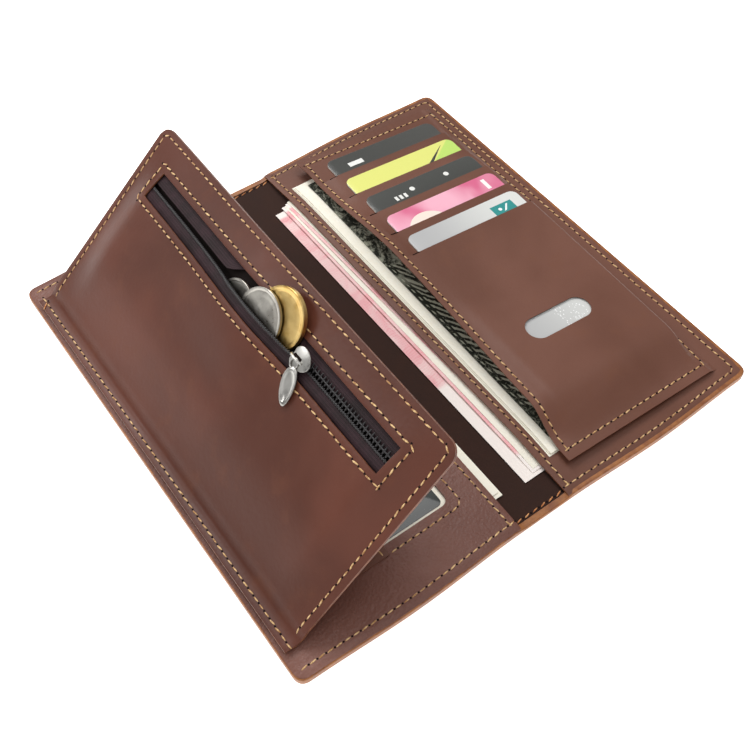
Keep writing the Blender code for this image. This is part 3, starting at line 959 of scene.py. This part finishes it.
def painted_edge(side):
    """The tan edge round one half of the opened wallet."""
    half = HALF_L
    corners = [(0, -half), (side * HALF_W, -half), (side * HALF_W, half), (0, half)]
    line = walk([(*c, 0) for c in corners], 1.2 * MM, CORNER_R)
    bm = bmesh.new()
    rings = []
    for i, point in enumerate(line):
        a = line[max(i - 1, 0)]
        b = line[min(i + 1, len(line) - 1)]
        along = (b - a).normalized()
        out = Vector((along.y, -along.x, 0)) * side
        bow = Vector((0, math.copysign(near_bow(point.x) * ease(60 * MM, half, abs(point.y)), point.y), 0))
        ring = []
        for offset, z in bead_section(edge_height(point.x)):
            ring.append(bm.verts.new(point + bow + out * offset + Vector((0, 0, z))))
        rings.append(ring)
    count = len(rings[0])
    for ring, following in zip(rings, rings[1:]):
        for k in range(count):
            bm.faces.new((ring[k], ring[(k + 1) % count], following[(k + 1) % count], following[k]))
    bm.faces.new(rings[0])
    bm.faces.new(reversed(rings[-1]))
    bmesh.ops.recalc_face_normals(bm, faces=bm.faces)
    name = "edge_left" if side < 0 else "edge_right"
    return smooth(new_object(name, bm, ["edge"]), 50)


def half_sheet(name, side, outer, half, z, thickness, materials, radius=0.0):
    """One half of a flat layer, from the middle of the spine outwards."""
    marks = [side * m * MM for m in (7, 8, 9, 10, 11, 12, 13)]
    low, high = sorted((0, side * outer))
    columns = spread(low, high, 3 * MM, *marks)
    rows = rounded_rows(spread(-half, half, 4 * MM), -half, half, max(radius, 0.5 * MM))

    def surface(x, y):
        return Vector((x, y + math.copysign(near_bow(x) * ease(70 * MM, half, abs(y)), y), z))

    return sheet(name, columns, rows, surface, thickness, materials,
                 left_r=radius if side < 0 else 0, right_r=radius if side > 0 else 0, rim=0)


def covers():
    for side, name in ((-1, "left"), (1, "right")):
        body = ("spine", name + "_cover", (side * 8 * MM, 0, 0), (side * 12 * MM, 0, 0))
        shell = half_sheet("outer_leather_" + name, side, HALF_W - 1.1 * MM, HALF_L - 1.1 * MM,
                           LEATHER, LEATHER - 0.05 * MM, ["outer"], CORNER_R - 1 * MM)
        stood = [name + "_cover"] + (["spine_cover"] if side < 0 else [])
        place_on(smooth(baked(shell)), body, "cover_leather", *stood)
        lining = half_sheet("suede_" + name, side, HALF_W - 2.6 * MM, HALF_L - 2.6 * MM,
                            LINING_Z, LINING_Z - LEATHER - 0.05 * MM, ["suede"])
        stood = [name + "_lining"] + (["spine_lining"] if side < 0 else [])
        place_on(smooth(baked(lining)), body, "suede_lining", *stood)
        place_on(painted_edge(side), body, "cover_leather")


def identity_side():
    columns = spread(-PANEL_HALF_W, -10.5 * MM, 2 * MM)
    rows = rounded_rows(spread(-PANEL_HALF_L, PANEL_HALF_L, 3 * MM), -PANEL_HALF_L, PANEL_HALF_L,
                        3.6 * MM)
    panel = sheet("id_panel_leather", columns, rows, id_surface, 0.7 * MM,
                  ["pebbled", "thin_edge"], left_r=3.6 * MM)
    baked(panel)
    window = rounded_box("window_cutter", (-77.5 * MM, -23.5 * MM), (-73 * MM, 13 * MM),
                         (2 * MM, 8 * MM), 3 * MM, 0, "pebbled")
    cut_out(panel, window)
    place_on(smooth(panel), "left_cover", "panel_leather", "id_panel")

    low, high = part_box("id_window_sheet")
    # The film stops short of the window's spine-side edge, so a strip of the black backing shows beside it:
    # painted shadow under the window's edge. The backing itself stands for the pocket's real dark fabric.
    film = rounded_box("window_film_sheet", (low.x + 1 * MM, -25.2 * MM), (-71.9 * MM, high.y - 1 * MM),
                       (low.z, high.z), 2 * MM, 0.05 * MM, "film")
    place_on(smooth(film), "left_cover", "clear_sheet", "id_window_sheet")
    backing = rounded_box("window_backing", (low.x, high.x - 0.5 * MM), (low.y + 0.5 * MM, high.y),
                          (low.z - 0.35 * MM, low.z - 0.1 * MM), 2 * MM, 0, "dark")
    place_on(backing, "left_cover", "pocket_fabric")

    low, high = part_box("id_pocket")
    columns = spread(low.x, high.x, 2 * MM)
    rows = spread(low.y, high.y, 3 * MM)

    def pocket_surface(x, y):
        puff = 0.25 * MM * ease(low.y, low.y + 8 * MM, y) * (1 - ease(high.y - 8 * MM, high.y, y))
        return Vector((x, y, high.z - 0.05 * MM + puff * ease(low.x, high.x, x)))

    pocket = sheet("id_pocket_leather", columns, rows, pocket_surface, 0.5 * MM,
                   ["panel", "thin_edge"])
    place_on(smooth(baked(pocket)), "left_cover", "panel_leather", "id_pocket")
    edge_x = high.x - 2.2 * MM
    line = walk([pocket_surface(edge_x, low.y + 2 * MM), pocket_surface(edge_x, high.y - 2 * MM)])
    seam("id_pocket_seam", line, "left_cover", slot="panel_leather")

    def on_panel(x, y):
        return id_surface(x, y) + Vector((0, 0, 0.05 * MM))

    frame_x, near, far = -20.2 * MM, -76.3 * MM, 16.3 * MM
    line = walk([(-49 * MM, near, 0), (frame_x, near, 0), (frame_x, far, 0), (-49 * MM, far, 0)],
                1.2 * MM, 4 * MM)
    seam("id_window_seam", [on_panel(p.x, p.y) for p in line], "left_cover", slot="panel_leather", seed=2)
    line = walk([(-12.8 * MM, -90.8 * MM, 0), (-12.8 * MM, 90.8 * MM, 0)])
    seam("id_edge_seam", [on_panel(p.x, p.y) for p in line], "left_cover", slot="panel_leather", seed=3)
    for end in (-1, 1):
        line = walk([(-93.8 * MM, end * END_SEAM_Y, 0), (-12 * MM, end * END_SEAM_Y, 0)])
        seam("id_end_seam_%d" % (end + 2), [on_panel(p.x, p.y) for p in line], "left_cover",
             slot="panel_leather", seed=4 + end)


# ---------------------------------------------------------------- coin flap

# The flap's leather turns up from the left cover between these two places; place_on only bakes the pieces
# given this where they lie
FLAP_BEND = ("left_cover", "coin_flap", (-94.5 * MM, 0, 0), (-88.5 * MM, 0, 0))


def flap_leathers():
    columns = spread(HINGE_EDGE, FLAP_REACH, 1.7 * MM, -3 * MM, 0, 3 * MM, 6 * MM, *ZIP_WINDOW)
    marks = (-ZIP_HALF, ZIP_HALF)
    rows = rounded_rows(spread(-FLAP_HALF, FLAP_HALF, 2.5 * MM, *marks), -FLAP_HALF, FLAP_HALF, 5 * MM)

    def in_window(r, y):
        return ZIP_WINDOW[0] < r < ZIP_WINDOW[1] and abs(y) < ZIP_HALF

    front = sheet("flap_front_leather", columns, rows, flap_skin, FLAP_SKIN, ["flap", "thin_edge"],
                  skip=in_window, right_r=5 * MM)
    place_on(smooth(baked(front)), FLAP_BEND, "panel_leather", "flap_front", "flap_seam_strip")

    columns = spread(HINGE_EDGE + 3 * MM, FLAP_REACH, 3 * MM, 0, 3 * MM, 6 * MM)
    rows = rounded_rows(spread(-FLAP_HALF, FLAP_HALF, 4 * MM), -FLAP_HALF, FLAP_HALF, 5 * MM)
    back = sheet("flap_back_leather", columns, rows,
                 lambda r, y: flap_point(r, y, FLAP_BACK), FLAP_BACK, ["panel", "thin_edge"],
                 right_r=5 * MM)
    place_on(smooth(baked(back)), FLAP_BEND, "panel_leather", "flap_back")

    columns = spread(8 * MM, 73 * MM, 4 * MM)
    rows = spread(-77 * MM, 77 * MM, 5 * MM)
    bag = sheet("coin_pocket_cloth", columns, rows,
                lambda r, y: flap_point(r, y, FLAP_BACK + 0.22 * MM), 0.12 * MM, ["pocket"], rim=0)
    place_on(smooth(baked(bag)), "coin_flap", "pocket_fabric", "coin_pocket_lining")


def flap_seams():
    lift = 0.04 * MM

    def on_flap(r, y):
        return flap_skin(r, y) + flap_up(y) * lift

    up = tuple(flap_up())
    r_out, y_out = 79.2 * MM, 82.2 * MM
    line = walk([(4 * MM, -y_out, 0), (r_out, -y_out, 0), (r_out, y_out, 0), (4 * MM, y_out, 0)],
                1.2 * MM, 2.5 * MM)
    seam("flap_edge_seam", [on_flap(p.x, p.y) for p in line], "coin_flap", up,
         slot="panel_leather", seed=7)
    r_in, r_far, y_zip = ZIP_WINDOW[0] - 2.5 * MM, ZIP_WINDOW[1] + 2.5 * MM, ZIP_HALF + 3 * MM
    line = walk([(r_in, -y_zip, 0), (r_far, -y_zip, 0), (r_far, y_zip, 0), (r_in, y_zip, 0),
                 (r_in, -y_zip + 1 * MM, 0)], 1.2 * MM, 0.8 * MM)
    seam("zip_window_seam", [on_flap(p.x, p.y) for p in line], "coin_flap", up,
         slot="panel_leather", seed=8)
    line = walk([(-2.2 * MM, -84 * MM, 0), (-2.2 * MM, 84 * MM, 0)])
    seam("flap_hinge_seam", [on_flap(p.x, p.y) for p in line], "left_cover",
         slot="panel_leather", seed=9)
    line = walk([flap_point(-3.4 * MM, 81 * MM, 1.75 * MM), flap_point(1.2 * MM, 84.2 * MM, 1.75 * MM)])
    seam("hinge_corner_thread", line, "left_cover", colour="orange_thread", slot="panel_leather",
         pitch=5.2 * MM)


def zip_rows():
    half = ZIP_HALF + 1.5 * MM

    def lower_edge(y):
        return ZIP_LINE - 0.55 * MM - 0.4 * MM * zip_parting(y)

    def upper_edge(y):
        return ZIP_LINE + 0.55 * MM + 5.2 * MM * zip_parting(y)

    def tape_level(r, y):
        over_coins = 0
        if r < ZIP_LINE:
            over_coins = 3.2 * MM * hump(y + 3 * MM, 22 * MM) * ease(60 * MM, 66 * MM, r)
        return front_level(r, y) - 0.3 * MM + over_coins

    for name, inner, outer, node in (
            ("lower", lambda y: 53 * MM, lambda y: lower_edge(y) - 0.5 * MM, "zip_tape_lower"),
            ("upper", lambda y: upper_edge(y) + 0.5 * MM, lambda y: 73 * MM, "zip_tape_upper")):
        def surface(share, y, inner=inner, outer=outer):
            r = inner(y) + (outer(y) - inner(y)) * share
            fold = 0.5 * MM * hump(share - 0.72, 0.1) * hump(y + 20 * MM, 70 * MM)
            fold -= 0.25 * MM * hump(share - 0.45, 0.16)
            return flap_point(r, y, tape_level(r, y) + fold)

        tape = sheet("zip_tape_cloth_" + name, spread(0, 1, 0.1), spread(-half, half, 2 * MM),
                     surface, 0.22 * MM, ["tape"], rim=0)
        for loop in tape.data.uv_layers[0].data:
            loop.uv = (loop.uv[0] * 0.01, loop.uv[1])
        place_on(smooth(baked(tape)), "coin_flap", "zip_tape", node)

    up = tuple(flap_up())
    rows = spread(-ZIP_HALF, ZIP_HALF, 1.2 * MM)
    for name, edge, shift, lift, across in (
            ("lower", lower_edge, -0.2 * MM, 0.25 * MM, 1.3 * MM),
            ("upper", upper_edge, 0.6 * MM, 0.42 * MM, 3.3 * MM)):
        line = []
        last = SLIDER_Y - 4.3 * MM if name == "upper" else ZIP_HALF
        for y in rows:
            if y >= last:
                break
            r = edge(y) + shift
            sink = 0.5 * MM * zip_parting(y) if name == "upper" else 0
            line.append(flap_point(r, y, tape_level(r, y) + lift - sink))
        pitch = across * 0.3 + 0.55 * MM
        coil = TEETH.run(path_curve("zip_coil_teeth_" + name, line),
                         {"Pitch": pitch, "Across": across, "Thick": 0.85 * MM, "Up": up,
                          "Plastic": MATERIALS["coil"]})
        coil.data.shade_smooth()
        place_on(coil, "coin_flap", "zip_coil", "zip_coil_" + name)
        cord = path_curve("zip_cord_" + name, [p + flap_up() * 0.1 * MM for p in line])
        cord.data.bevel_depth = 0.3 * MM
        cord.data.bevel_resolution = 2
        cord.data.use_fill_caps = True
        cord.data.materials.append(MATERIALS["coil"])
        cord = baked(cord)
        cord.data.shade_smooth()
        place_on(cord, "coin_flap", "zip_coil")


def to_flap(obj, r, y, h, turn=0.0, tilt=0.0):
    """Set a small part, modelled flat about its own origin, on the flap."""
    from_local = (Matrix.Translation(flap_point(r, y, h))
                  @ Matrix.Rotation(-(FLAP_ANGLE + tilt), 4, "Y") @ Matrix.Rotation(turn, 4, "Z"))
    obj.data.transform(from_local)
    return obj


def slider():
    bm = bmesh.new()
    outline = []
    for k in range(40):
        a = 2 * math.pi * k / 40
        wide = 3.9 * MM + 0.7 * MM * math.sin(a)
        dent = 0.9 * MM * hump(a - math.pi / 2, 0.35)
        outline.append(bm.verts.new((wide * math.cos(a), 4.5 * MM * math.sin(a) - dent, 0)))
    top = bm.faces.new(outline)
    made = bmesh.ops.extrude_face_region(bm, geom=[top])
    bmesh.ops.translate(bm, verts=[v for v in made["geom"] if isinstance(v, bmesh.types.BMVert)],
                        vec=(0, 0, 0.75 * MM))
    bmesh.ops.recalc_face_normals(bm, faces=bm.faces)
    plate = new_object("slider_top", bm, ["nickel"])
    bevel = plate.modifiers.new("soft", "BEVEL")
    bevel.width = 0.32 * MM
    bevel.segments = 3
    bevel.limit_method = "ANGLE"
    plate = baked(to_flap(plate, *SLIDER_TOP_AT, 5.2 * MM))
    place_on(smooth(plate, 50), "zip_slider", "zip_metal", "zip_slider")
    base = rounded_box("slider_base", (-2.9 * MM, 2.9 * MM), (-3.9 * MM, 3.9 * MM),
                       (0, 0.55 * MM), 1.6 * MM, 0.2 * MM, "nickel")
    place_on(smooth(to_flap(base, ZIP_LINE, SLIDER_Y - 0.8 * MM, 1.2 * MM), 50), "zip_slider", "zip_metal")
    # A thin dark plate on the slider's top stands for its slot: painted shade inside the opening.
    slot = rounded_box("slider_slot", (-0.55 * MM, 0.55 * MM), (-0.6 * MM, 3.2 * MM),
                       (0, 0.06 * MM), 0.5 * MM, 0, "hole")
    place_on(to_flap(slot, *SLIDER_TOP_AT, 5.95 * MM), "zip_slider", "zip_metal")
    post = rounded_box("slider_post", (-0.35 * MM, 0.35 * MM), (1.6 * MM, 3.2 * MM),
                       (1.5 * MM, 5.3 * MM), 0.3 * MM, 0, "nickel")
    place_on(smooth(to_flap(post, ZIP_LINE, SLIDER_Y, 0), 50), "zip_slider", "zip_metal")
    arch = []
    for k in range(17):
        a = math.pi * k / 16
        arch.append((0, 2.7 * MM * math.cos(a), 5.6 * MM + 1.25 * MM * math.sin(a) ** 0.6))
    bridge = path_curve("slider_bridge", arch)
    bridge.data.bevel_depth = 0.42 * MM
    bridge.data.bevel_resolution = 3
    bridge.data.use_fill_caps = True
    bridge.data.materials.append(MATERIALS["nickel"])
    place_on(smooth(to_flap(baked(bridge), ZIP_LINE, SLIDER_Y, 0)), "zip_slider", "zip_metal")


def leaf_pull():
    """Pull tab: an eye round the slider's bridge, and a leaf with a raised rim."""
    length, width = 6.2 * MM, 2.8 * MM
    bm = bmesh.new()
    rings = []
    profile = ((1.0, -0.3), (1.04, 0.0), (1.0, 0.35), (0.88, 0.45), (0.78, 0.32), (0.7, 0.1), (0.3, 0.16))
    for share, height in profile:
        ring = []
        for k in range(48):
            a = 2 * math.pi * k / 48
            taper = 1 - 0.18 * math.cos(a)
            ring.append(bm.verts.new((9 * MM + length * share * math.cos(a),
                                      width * share * taper * math.sin(a), height * MM)))
        rings.append(ring)
    for ring, following in zip(rings, rings[1:]):
        for k in range(48):
            bm.faces.new((ring[k], ring[(k + 1) % 48], following[(k + 1) % 48], following[k]))
    bm.faces.new(reversed(rings[0]))
    bm.faces.new(rings[-1])
    bmesh.ops.recalc_face_normals(bm, faces=bm.faces)
    leaf = new_object("pull_leaf", bm, ["nickel"])
    place_on(smooth(to_flap(leaf, ZIP_LINE, SLIDER_Y + 0.2 * MM, PULL_LEVEL, PULL_TURN), 60), "zip_pull",
             "zip_metal", "zip_pull")
    ring = []
    for k in range(33):
        a = 2 * math.pi * k / 32
        ring.append((1.6 * MM + 1.65 * MM * math.cos(a), 1.55 * MM * math.sin(a), 0.05 * MM))
    eye = path_curve("pull_eye", ring)
    eye.data.bevel_depth = 0.3 * MM
    eye.data.bevel_resolution = 3
    eye.data.splines[0].use_cyclic_u = True
    eye.data.materials.append(MATERIALS["nickel"])
    place_on(smooth(to_flap(baked(eye), ZIP_LINE, SLIDER_Y + 0.2 * MM, PULL_LEVEL, PULL_TURN)), "zip_pull",
             "zip_metal")


def coin(name, radius, thick, r, y, h, material, slot, seed):
    """A struck coin: raised rim, beading and a plain rosette."""
    bm = bmesh.new()
    steps = 72
    half = thick / 2
    rings = []

    def relief(share, angle):
        petals = 0.5 + 0.5 * math.cos(angle * 6 + seed)
        flower = (1 - ease(0.5, 0.62, share)) * ease(0.08, 0.2, share) * petals
        return 0.06 * MM * flower

    shares = [1.0, 1.0, 0.975, 0.9, 0.87, 0.8, 0.74, 0.66, 0.58, 0.5, 0.42, 0.34, 0.26, 0.18, 0.1]
    heights = [half - 0.12 * MM, half, half, half, half - 0.25 * MM] + [half - 0.3 * MM] * 10
    for face in (-1, 1):
        order = range(len(shares)) if face > 0 else range(len(shares) - 1, -1, -1)
        for i in order:
            ring = []
            for k in range(steps):
                a = 2 * math.pi * k / steps
                share = shares[i] if i else 1.0
                z = heights[i] + (relief(share, a) if i > 4 else 0)
                bead = 0.12 * MM * (0.5 + 0.5 * math.cos(a * 36)) if i == 5 else 0
                reach = radius * (share - (0.012 if i == 1 else 0))
                ring.append(bm.verts.new((reach * math.cos(a), reach * math.sin(a), face * (z + bead))))
            rings.append(ring)
    for ring, following in zip(rings, rings[1:]):
        for k in range(steps):
            bm.faces.new((ring[k], ring[(k + 1) % steps], following[(k + 1) % steps], following[k]))
    bm.faces.new(reversed(rings[0]))
    bm.faces.new(rings[-1])
    bmesh.ops.recalc_face_normals(bm, faces=bm.faces)
    made = new_object(name + "_struck", bm, [material])
    smooth(to_flap(made, r, y, h, 0.4 * seed, COIN_TILT), 40)
    return place_on(made, name, slot, name)


def coins():
    plane_r, plane_h = COIN_PLANE
    listed = (("gold_coin", 10.5, 1.8, 68, -10.5, 0, "gold", "gold_metal"),
              ("silver_coin_front", 10, 1.2, 62.6, -3.8, 2.0, "silver", "silver_metal"),
              ("silver_coin_back", 8.5, 1.2, 58.5, 9, 0.7, "silver", "silver_metal"))
    for seed, (name, radius, thick, r, y, lift, material, slot) in enumerate(listed):
        rise = (r * MM - plane_r) * math.tan(COIN_TILT)
        h = plane_h + rise + (lift + thick / 2) * MM / math.cos(COIN_TILT)
        coin(name, radius * MM, thick * MM, r * MM, y * MM, h, material, slot, seed)


# ---------------------------------------------------------------- card side

def divider():
    columns = spread(10.5 * MM, PANEL_HALF_W, 2 * MM)
    rows = rounded_rows(spread(-PANEL_HALF_L, PANEL_HALF_L, 3 * MM), -PANEL_HALF_L, PANEL_HALF_L,
                        3.6 * MM)
    layer = sheet("divider_leather", columns, rows, divider_surface, 0.8 * MM,
                  ["panel", "thin_edge"], right_r=3.6 * MM)
    place_on(smooth(baked(layer)), "right_cover", "panel_leather", "divider_panel")

    def on_divider(x, y):
        return divider_surface(x, y) + Vector((0, 0, 0.05 * MM))

    line = walk([(12.6 * MM, END_SEAM_Y, 0), (EDGE_SEAM_X, END_SEAM_Y, 0),
                 (EDGE_SEAM_X, -END_SEAM_Y, 0), (12.6 * MM, -END_SEAM_Y, 0)], 1.2 * MM, 2.5 * MM)
    seam("right_edge_seam", [on_divider(p.x, p.y) for p in line], "right_cover",
         slot="panel_leather", seed=11)
    line = walk([(13 * MM, -90.5 * MM, 0), (13 * MM, 90.5 * MM, 0)])
    seam("divider_edge_seam", [on_divider(p.x, p.y) for p in line], "right_cover",
         slot="panel_leather", seed=12)


def card_panel():
    """The card panel's leather: one piece with five slits, a front and a far border."""
    bm = bmesh.new()
    us = spread(PANEL_U[0], SLIT_U[1], 1.6 * MM, *SLIT_U)[:-1]
    us += spread(SLIT_U[1], PANEL_U[1], 0.5 * MM)
    edges = [PANEL_V[1]] + [mouth(k) for k in range(1, 6)] + [PANEL_V[0]]
    for band in range(6):
        high, low = edges[band], edges[band + 1]
        surface = panel_skin(band)
        vs = spread(low, high, 1.8 * MM)
        grid = [[bm.verts.new(surface(u, v)) for u in us] for v in vs]
        for j in range(len(vs) - 1):
            for i in range(len(us) - 1):
                bm.faces.new((grid[j][i], grid[j][i + 1], grid[j + 1][i + 1], grid[j + 1][i]))
    bmesh.ops.remove_doubles(bm, verts=bm.verts, dist=0.02 * MM)
    panel = new_object("card_panel_leather", bm, ["panel", "thin_edge"])
    solidify = panel.modifiers.new("thickness", "SOLIDIFY")
    solidify.thickness = 0.34 * MM
    solidify.offset = -1
    solidify.material_offset_rim = 1
    baked(panel)
    half_l, half_w = THUMB[2] / 2, THUMB[3] / 2
    centre = panel_point(THUMB[0], THUMB[1], 0)
    hole = rounded_box("thumb_cutter", (-half_l, half_l), (-half_w, half_w), (-20 * MM, 20 * MM),
                       half_w - 0.02 * MM, 0, "thin_edge", 12)
    hole.data.transform(Matrix.Translation((centre.x, centre.y, 15.5 * MM))
                        @ Matrix.Rotation(CARD_YAW, 4, "Z"))
    cut_out(panel, hole)
    place_on(smooth(panel), "right_cover", "panel_leather", "card_panel_front", "card_panel_back",
             "card_pocket_1", "card_pocket_2", "card_pocket_3", "card_pocket_4")


def slit_ends():
    """Short dark cuts where each slit runs on past its card: each is a dark tube of painted shade for the
    inside of the open cut.
    """
    for index in range(1, 6):
        start = panel_face(SLIT_U[0] + 1 * MM, mouth(index) - 0.2 * MM)
        end = panel_face(SLIT_U[0] - 2.4 * MM, mouth(index) - 0.2 * MM)
        tick = path_curve("slit_end_%d" % index, walk([start, end]))
        tick.data.bevel_depth = 0.2 * MM
        tick.data.use_fill_caps = True
        tick.data.materials.append(MATERIALS["hole"])
        place_on(baked(tick), "right_cover", "panel_leather")


def card_panel_seams():
    def on_panel(u, v):
        place = panel_face(u, v)
        place.z = max(place.z, divider_surface(place.x, place.y).z) + 0.1 * MM
        return place

    left, near, far = -65.6 * MM, -83.8 * MM, 82.2 * MM
    line = walk([(left, near, 0), (-0.4 * MM, near, 0), (2.2 * MM, -62 * MM, 0), (2.4 * MM, 20 * MM, 0),
                 (-0.6 * MM, far, 0), (left, far, 0),
                 (left, near + 1 * MM, 0)], 1.2 * MM, 0.6 * MM)
    seam("card_panel_seam", [on_panel(p.x, p.y) for p in line], "right_cover",
         slot="panel_leather", seed=20)


def cards():
    for index in range(1, 6):
        top = mouth(index) + CARD_SHOWS
        level = FIRST_CARD + (index - 1) * LAYER
        plate = rounded_box("card_%d_plastic" % index, (CARD_U, CARD_U + CARD_W),
                            (top - CARD_L, top), (level, level + CARD_T), CARD_R, 0.1 * MM,
                            "card_%d" % index)
        plate.data.materials.append(MATERIALS["card_edge"])
        for face in plate.data.polygons:
            face.material_index = 0 if abs(face.normal.z) > 0.7 else 1
        uv = plate.data.uv_layers.new(name="face")
        for loop in plate.data.loops:
            at = plate.data.vertices[loop.vertex_index].co
            uv.data[loop.index].uv = ((at.x - CARD_U) / CARD_W, (at.y - top + CARD_L) / CARD_L)
        for vert in plate.data.vertices:
            vert.co = panel_point(*vert.co)
        place_on(smooth(plate, 50), "card_%d" % index, "card_plastic", "card_%d" % index)


def note_stack(name, body, slot, node, sheets, surface):
    """Paper sheets, each (left at far and near end, right, near, far, level share, material)."""
    for i, (left, left_near, right, near, far, share, material) in enumerate(sheets):
        columns = spread(left * MM, right * MM, 3 * MM)
        rows = spread(near * MM, far * MM, 5 * MM)
        layer = sheet("%s_%d" % (name, i + 1), columns, rows,
                      lambda x, y, share=share, turn=(left_near - left) / (far - near), far=far:
                      surface(x + turn * (far * MM - y), y, share), 0.11 * MM, [material], rim=0)
        wide, tall = (right - left) * MM, (far - near) * MM
        for loop in layer.data.uv_layers[0].data:
            loop.uv = ((loop.uv[0] - left * MM) / wide, (loop.uv[1] - near * MM) / tall)
        stood = [node] if i == 0 else []
        place_on(smooth(baked(layer)), body, slot, *stood)


def notes():
    def under_divider(x, y, share):
        room = divider_surface(max(x, 10.6 * MM), y).z - 0.95 * MM - 2.0 * MM
        calm = 0.12 * MM * math.sin(y * 60 + share * 7)
        droop = 0.8 * MM * share * (1 - ease(2 * MM, 12 * MM, x))
        return Vector((x, y, 2.0 * MM + room * (0.12 + 0.86 * share) - droop + calm * share))

    pink = [(2.2, 2.4, 72, -82, 73, 0.08, "pink"), (6.2, 6.8, 72.5, -80.6, 74.5, 0.5, "rosy"),
            (7.4, 7.9, 72.6, -79.5, 74, 0.62, "cream"), (8.2, 11.6, 73, -79, 75, 0.78, "rosy"),
            (9.4, 12.6, 73, -78, 75.5, 0.95, "cream")]
    note_stack("pink_note", "pink_notes", "pink_paper", "pink_notes", pink, under_divider)

    def over_divider(x, y, share):
        floor = divider_surface(max(x, 10.6 * MM), y).z + 0.12 * MM
        u = x - CARD_SEAM.x
        roof = panel_point(max(u, PANEL_U[0]), y, 0).z - 0.5 * MM
        roof = min(roof, floor + 3.2 * MM)
        return Vector((x, y, floor + max(roof - floor, 0.2 * MM) * share))

    green = [(15.0, 14.6, 78, -80, 80, 0.03, "cream"), (15.3, 15.2, 78.4, -79.2, 79.5, 0.15, "cream"),
             (15.9, 15.5, 79, -79.6, 79, 0.27, "cream"), (20.6, 18.8, 79, -74.4, 76.5, 0.42, "green"),
             (21.6, 20.2, 79.2, -76, 76, 0.55, "green")]
    note_stack("green_note", "green_notes", "green_paper", "green_notes", green, over_divider)

    def under_panel(x, y, share):
        return Vector((x, y, 2.3 * MM + 0.55 * MM * share))

    left = [(-73, -73, -6.9, -81, 75, 0.2, "cream"), (-73, -73, -7.6, -79.5, 75, 0.9, "cream")]
    note_stack("left_note_sheet", "left_note", "cream_paper", "left_note", left, under_panel)


def spine_details():
    line = walk([(-8.6 * MM, -91.6 * MM, LINING_Z + 0.1 * MM), (8.8 * MM, -91.6 * MM, LINING_Z + 0.1 * MM)])
    seam("spine_near_seam", line, "spine", colour="orange_thread", pitch=3.4 * MM, slant=0.3)
    line = walk([(-8.6 * MM, 91.6 * MM, LINING_Z + 0.1 * MM), (8.8 * MM, 91.6 * MM, LINING_Z + 0.1 * MM)])
    seam("spine_far_seam", line, "spine", colour="orange_thread", pitch=3.4 * MM, slant=0.3)


# ---------------------------------------------------------------- stage

def stage():
    bpy.ops.mesh.primitive_plane_add(size=6, location=(0, 0, -0.2 * MM))
    floor = bpy.context.object
    floor.name = "pale_floor"
    paint = Paint("pale_floor_paint", Roughness=0.9, Specular_IOR_Level=0.1)
    paint.colour(hex_colour("fbfbf9"))
    paint.shader.inputs["Emission Color"].default_value = (1, 1, 0.99, 1)
    paint.shader.inputs["Emission Strength"].default_value = 1.0
    floor.data.materials.append(paint.material)

    world = bpy.data.worlds.new("studio")
    bpy.context.scene.world = world
    world.use_nodes = True
    sky = world.node_tree.nodes["Background"]
    sky.inputs["Color"].default_value = (1, 1, 1, 1)
    sky.inputs["Strength"].default_value = 0.4

    for name, place, aim, size, power in (
            ("key", (0.1, 0.6, 0.8), (0, 0, 0), 0.5, 5.0),
            ("fill", (-0.7, -0.3, 0.6), (0, 0, 0), 0.8, 1.3),
            ("top", (0.25, -0.1, 0.9), (0.05, 0, 0), 0.6, 2),
            ("sheen", (-0.44, 0.42, 0.52), (-0.03, 0, 0.05), 0.22, 1.1)):
        data = bpy.data.lights.new(name, "AREA")
        data.shape = "SQUARE"
        data.size = size
        data.energy = power
        lamp = bpy.data.objects.new(name, data)
        lamp.location = place
        lamp.rotation_euler = (Vector(aim) - Vector(place)).to_track_quat("-Z", "Y").to_euler()
        bpy.context.scene.collection.objects.link(lamp)

    data = bpy.data.cameras.new("view")
    data.lens = 49.4
    data.clip_start = 0.01
    camera = bpy.data.objects.new("view", data)
    camera.location = (-0.14083, -0.19227, 0.30744)
    look = Vector((0.34411, 0.47081, -0.81236))
    camera.rotation_euler = look.to_track_quat("-Z", "Y").to_euler()
    bpy.context.scene.collection.objects.link(camera)
    bpy.context.scene.camera = camera


bpy.context.scene.view_settings.view_transform = "Standard"
MATERIALS = make_materials()
STITCHES = stitch_tree()
TEETH = teeth_tree()
stage()
covers()
identity_side()
flap_leathers()
flap_seams()
zip_rows()
slider()
leaf_pull()
coins()
divider()
card_panel()
card_panel_seams()
slit_ends()
cards()
notes()
spine_details()
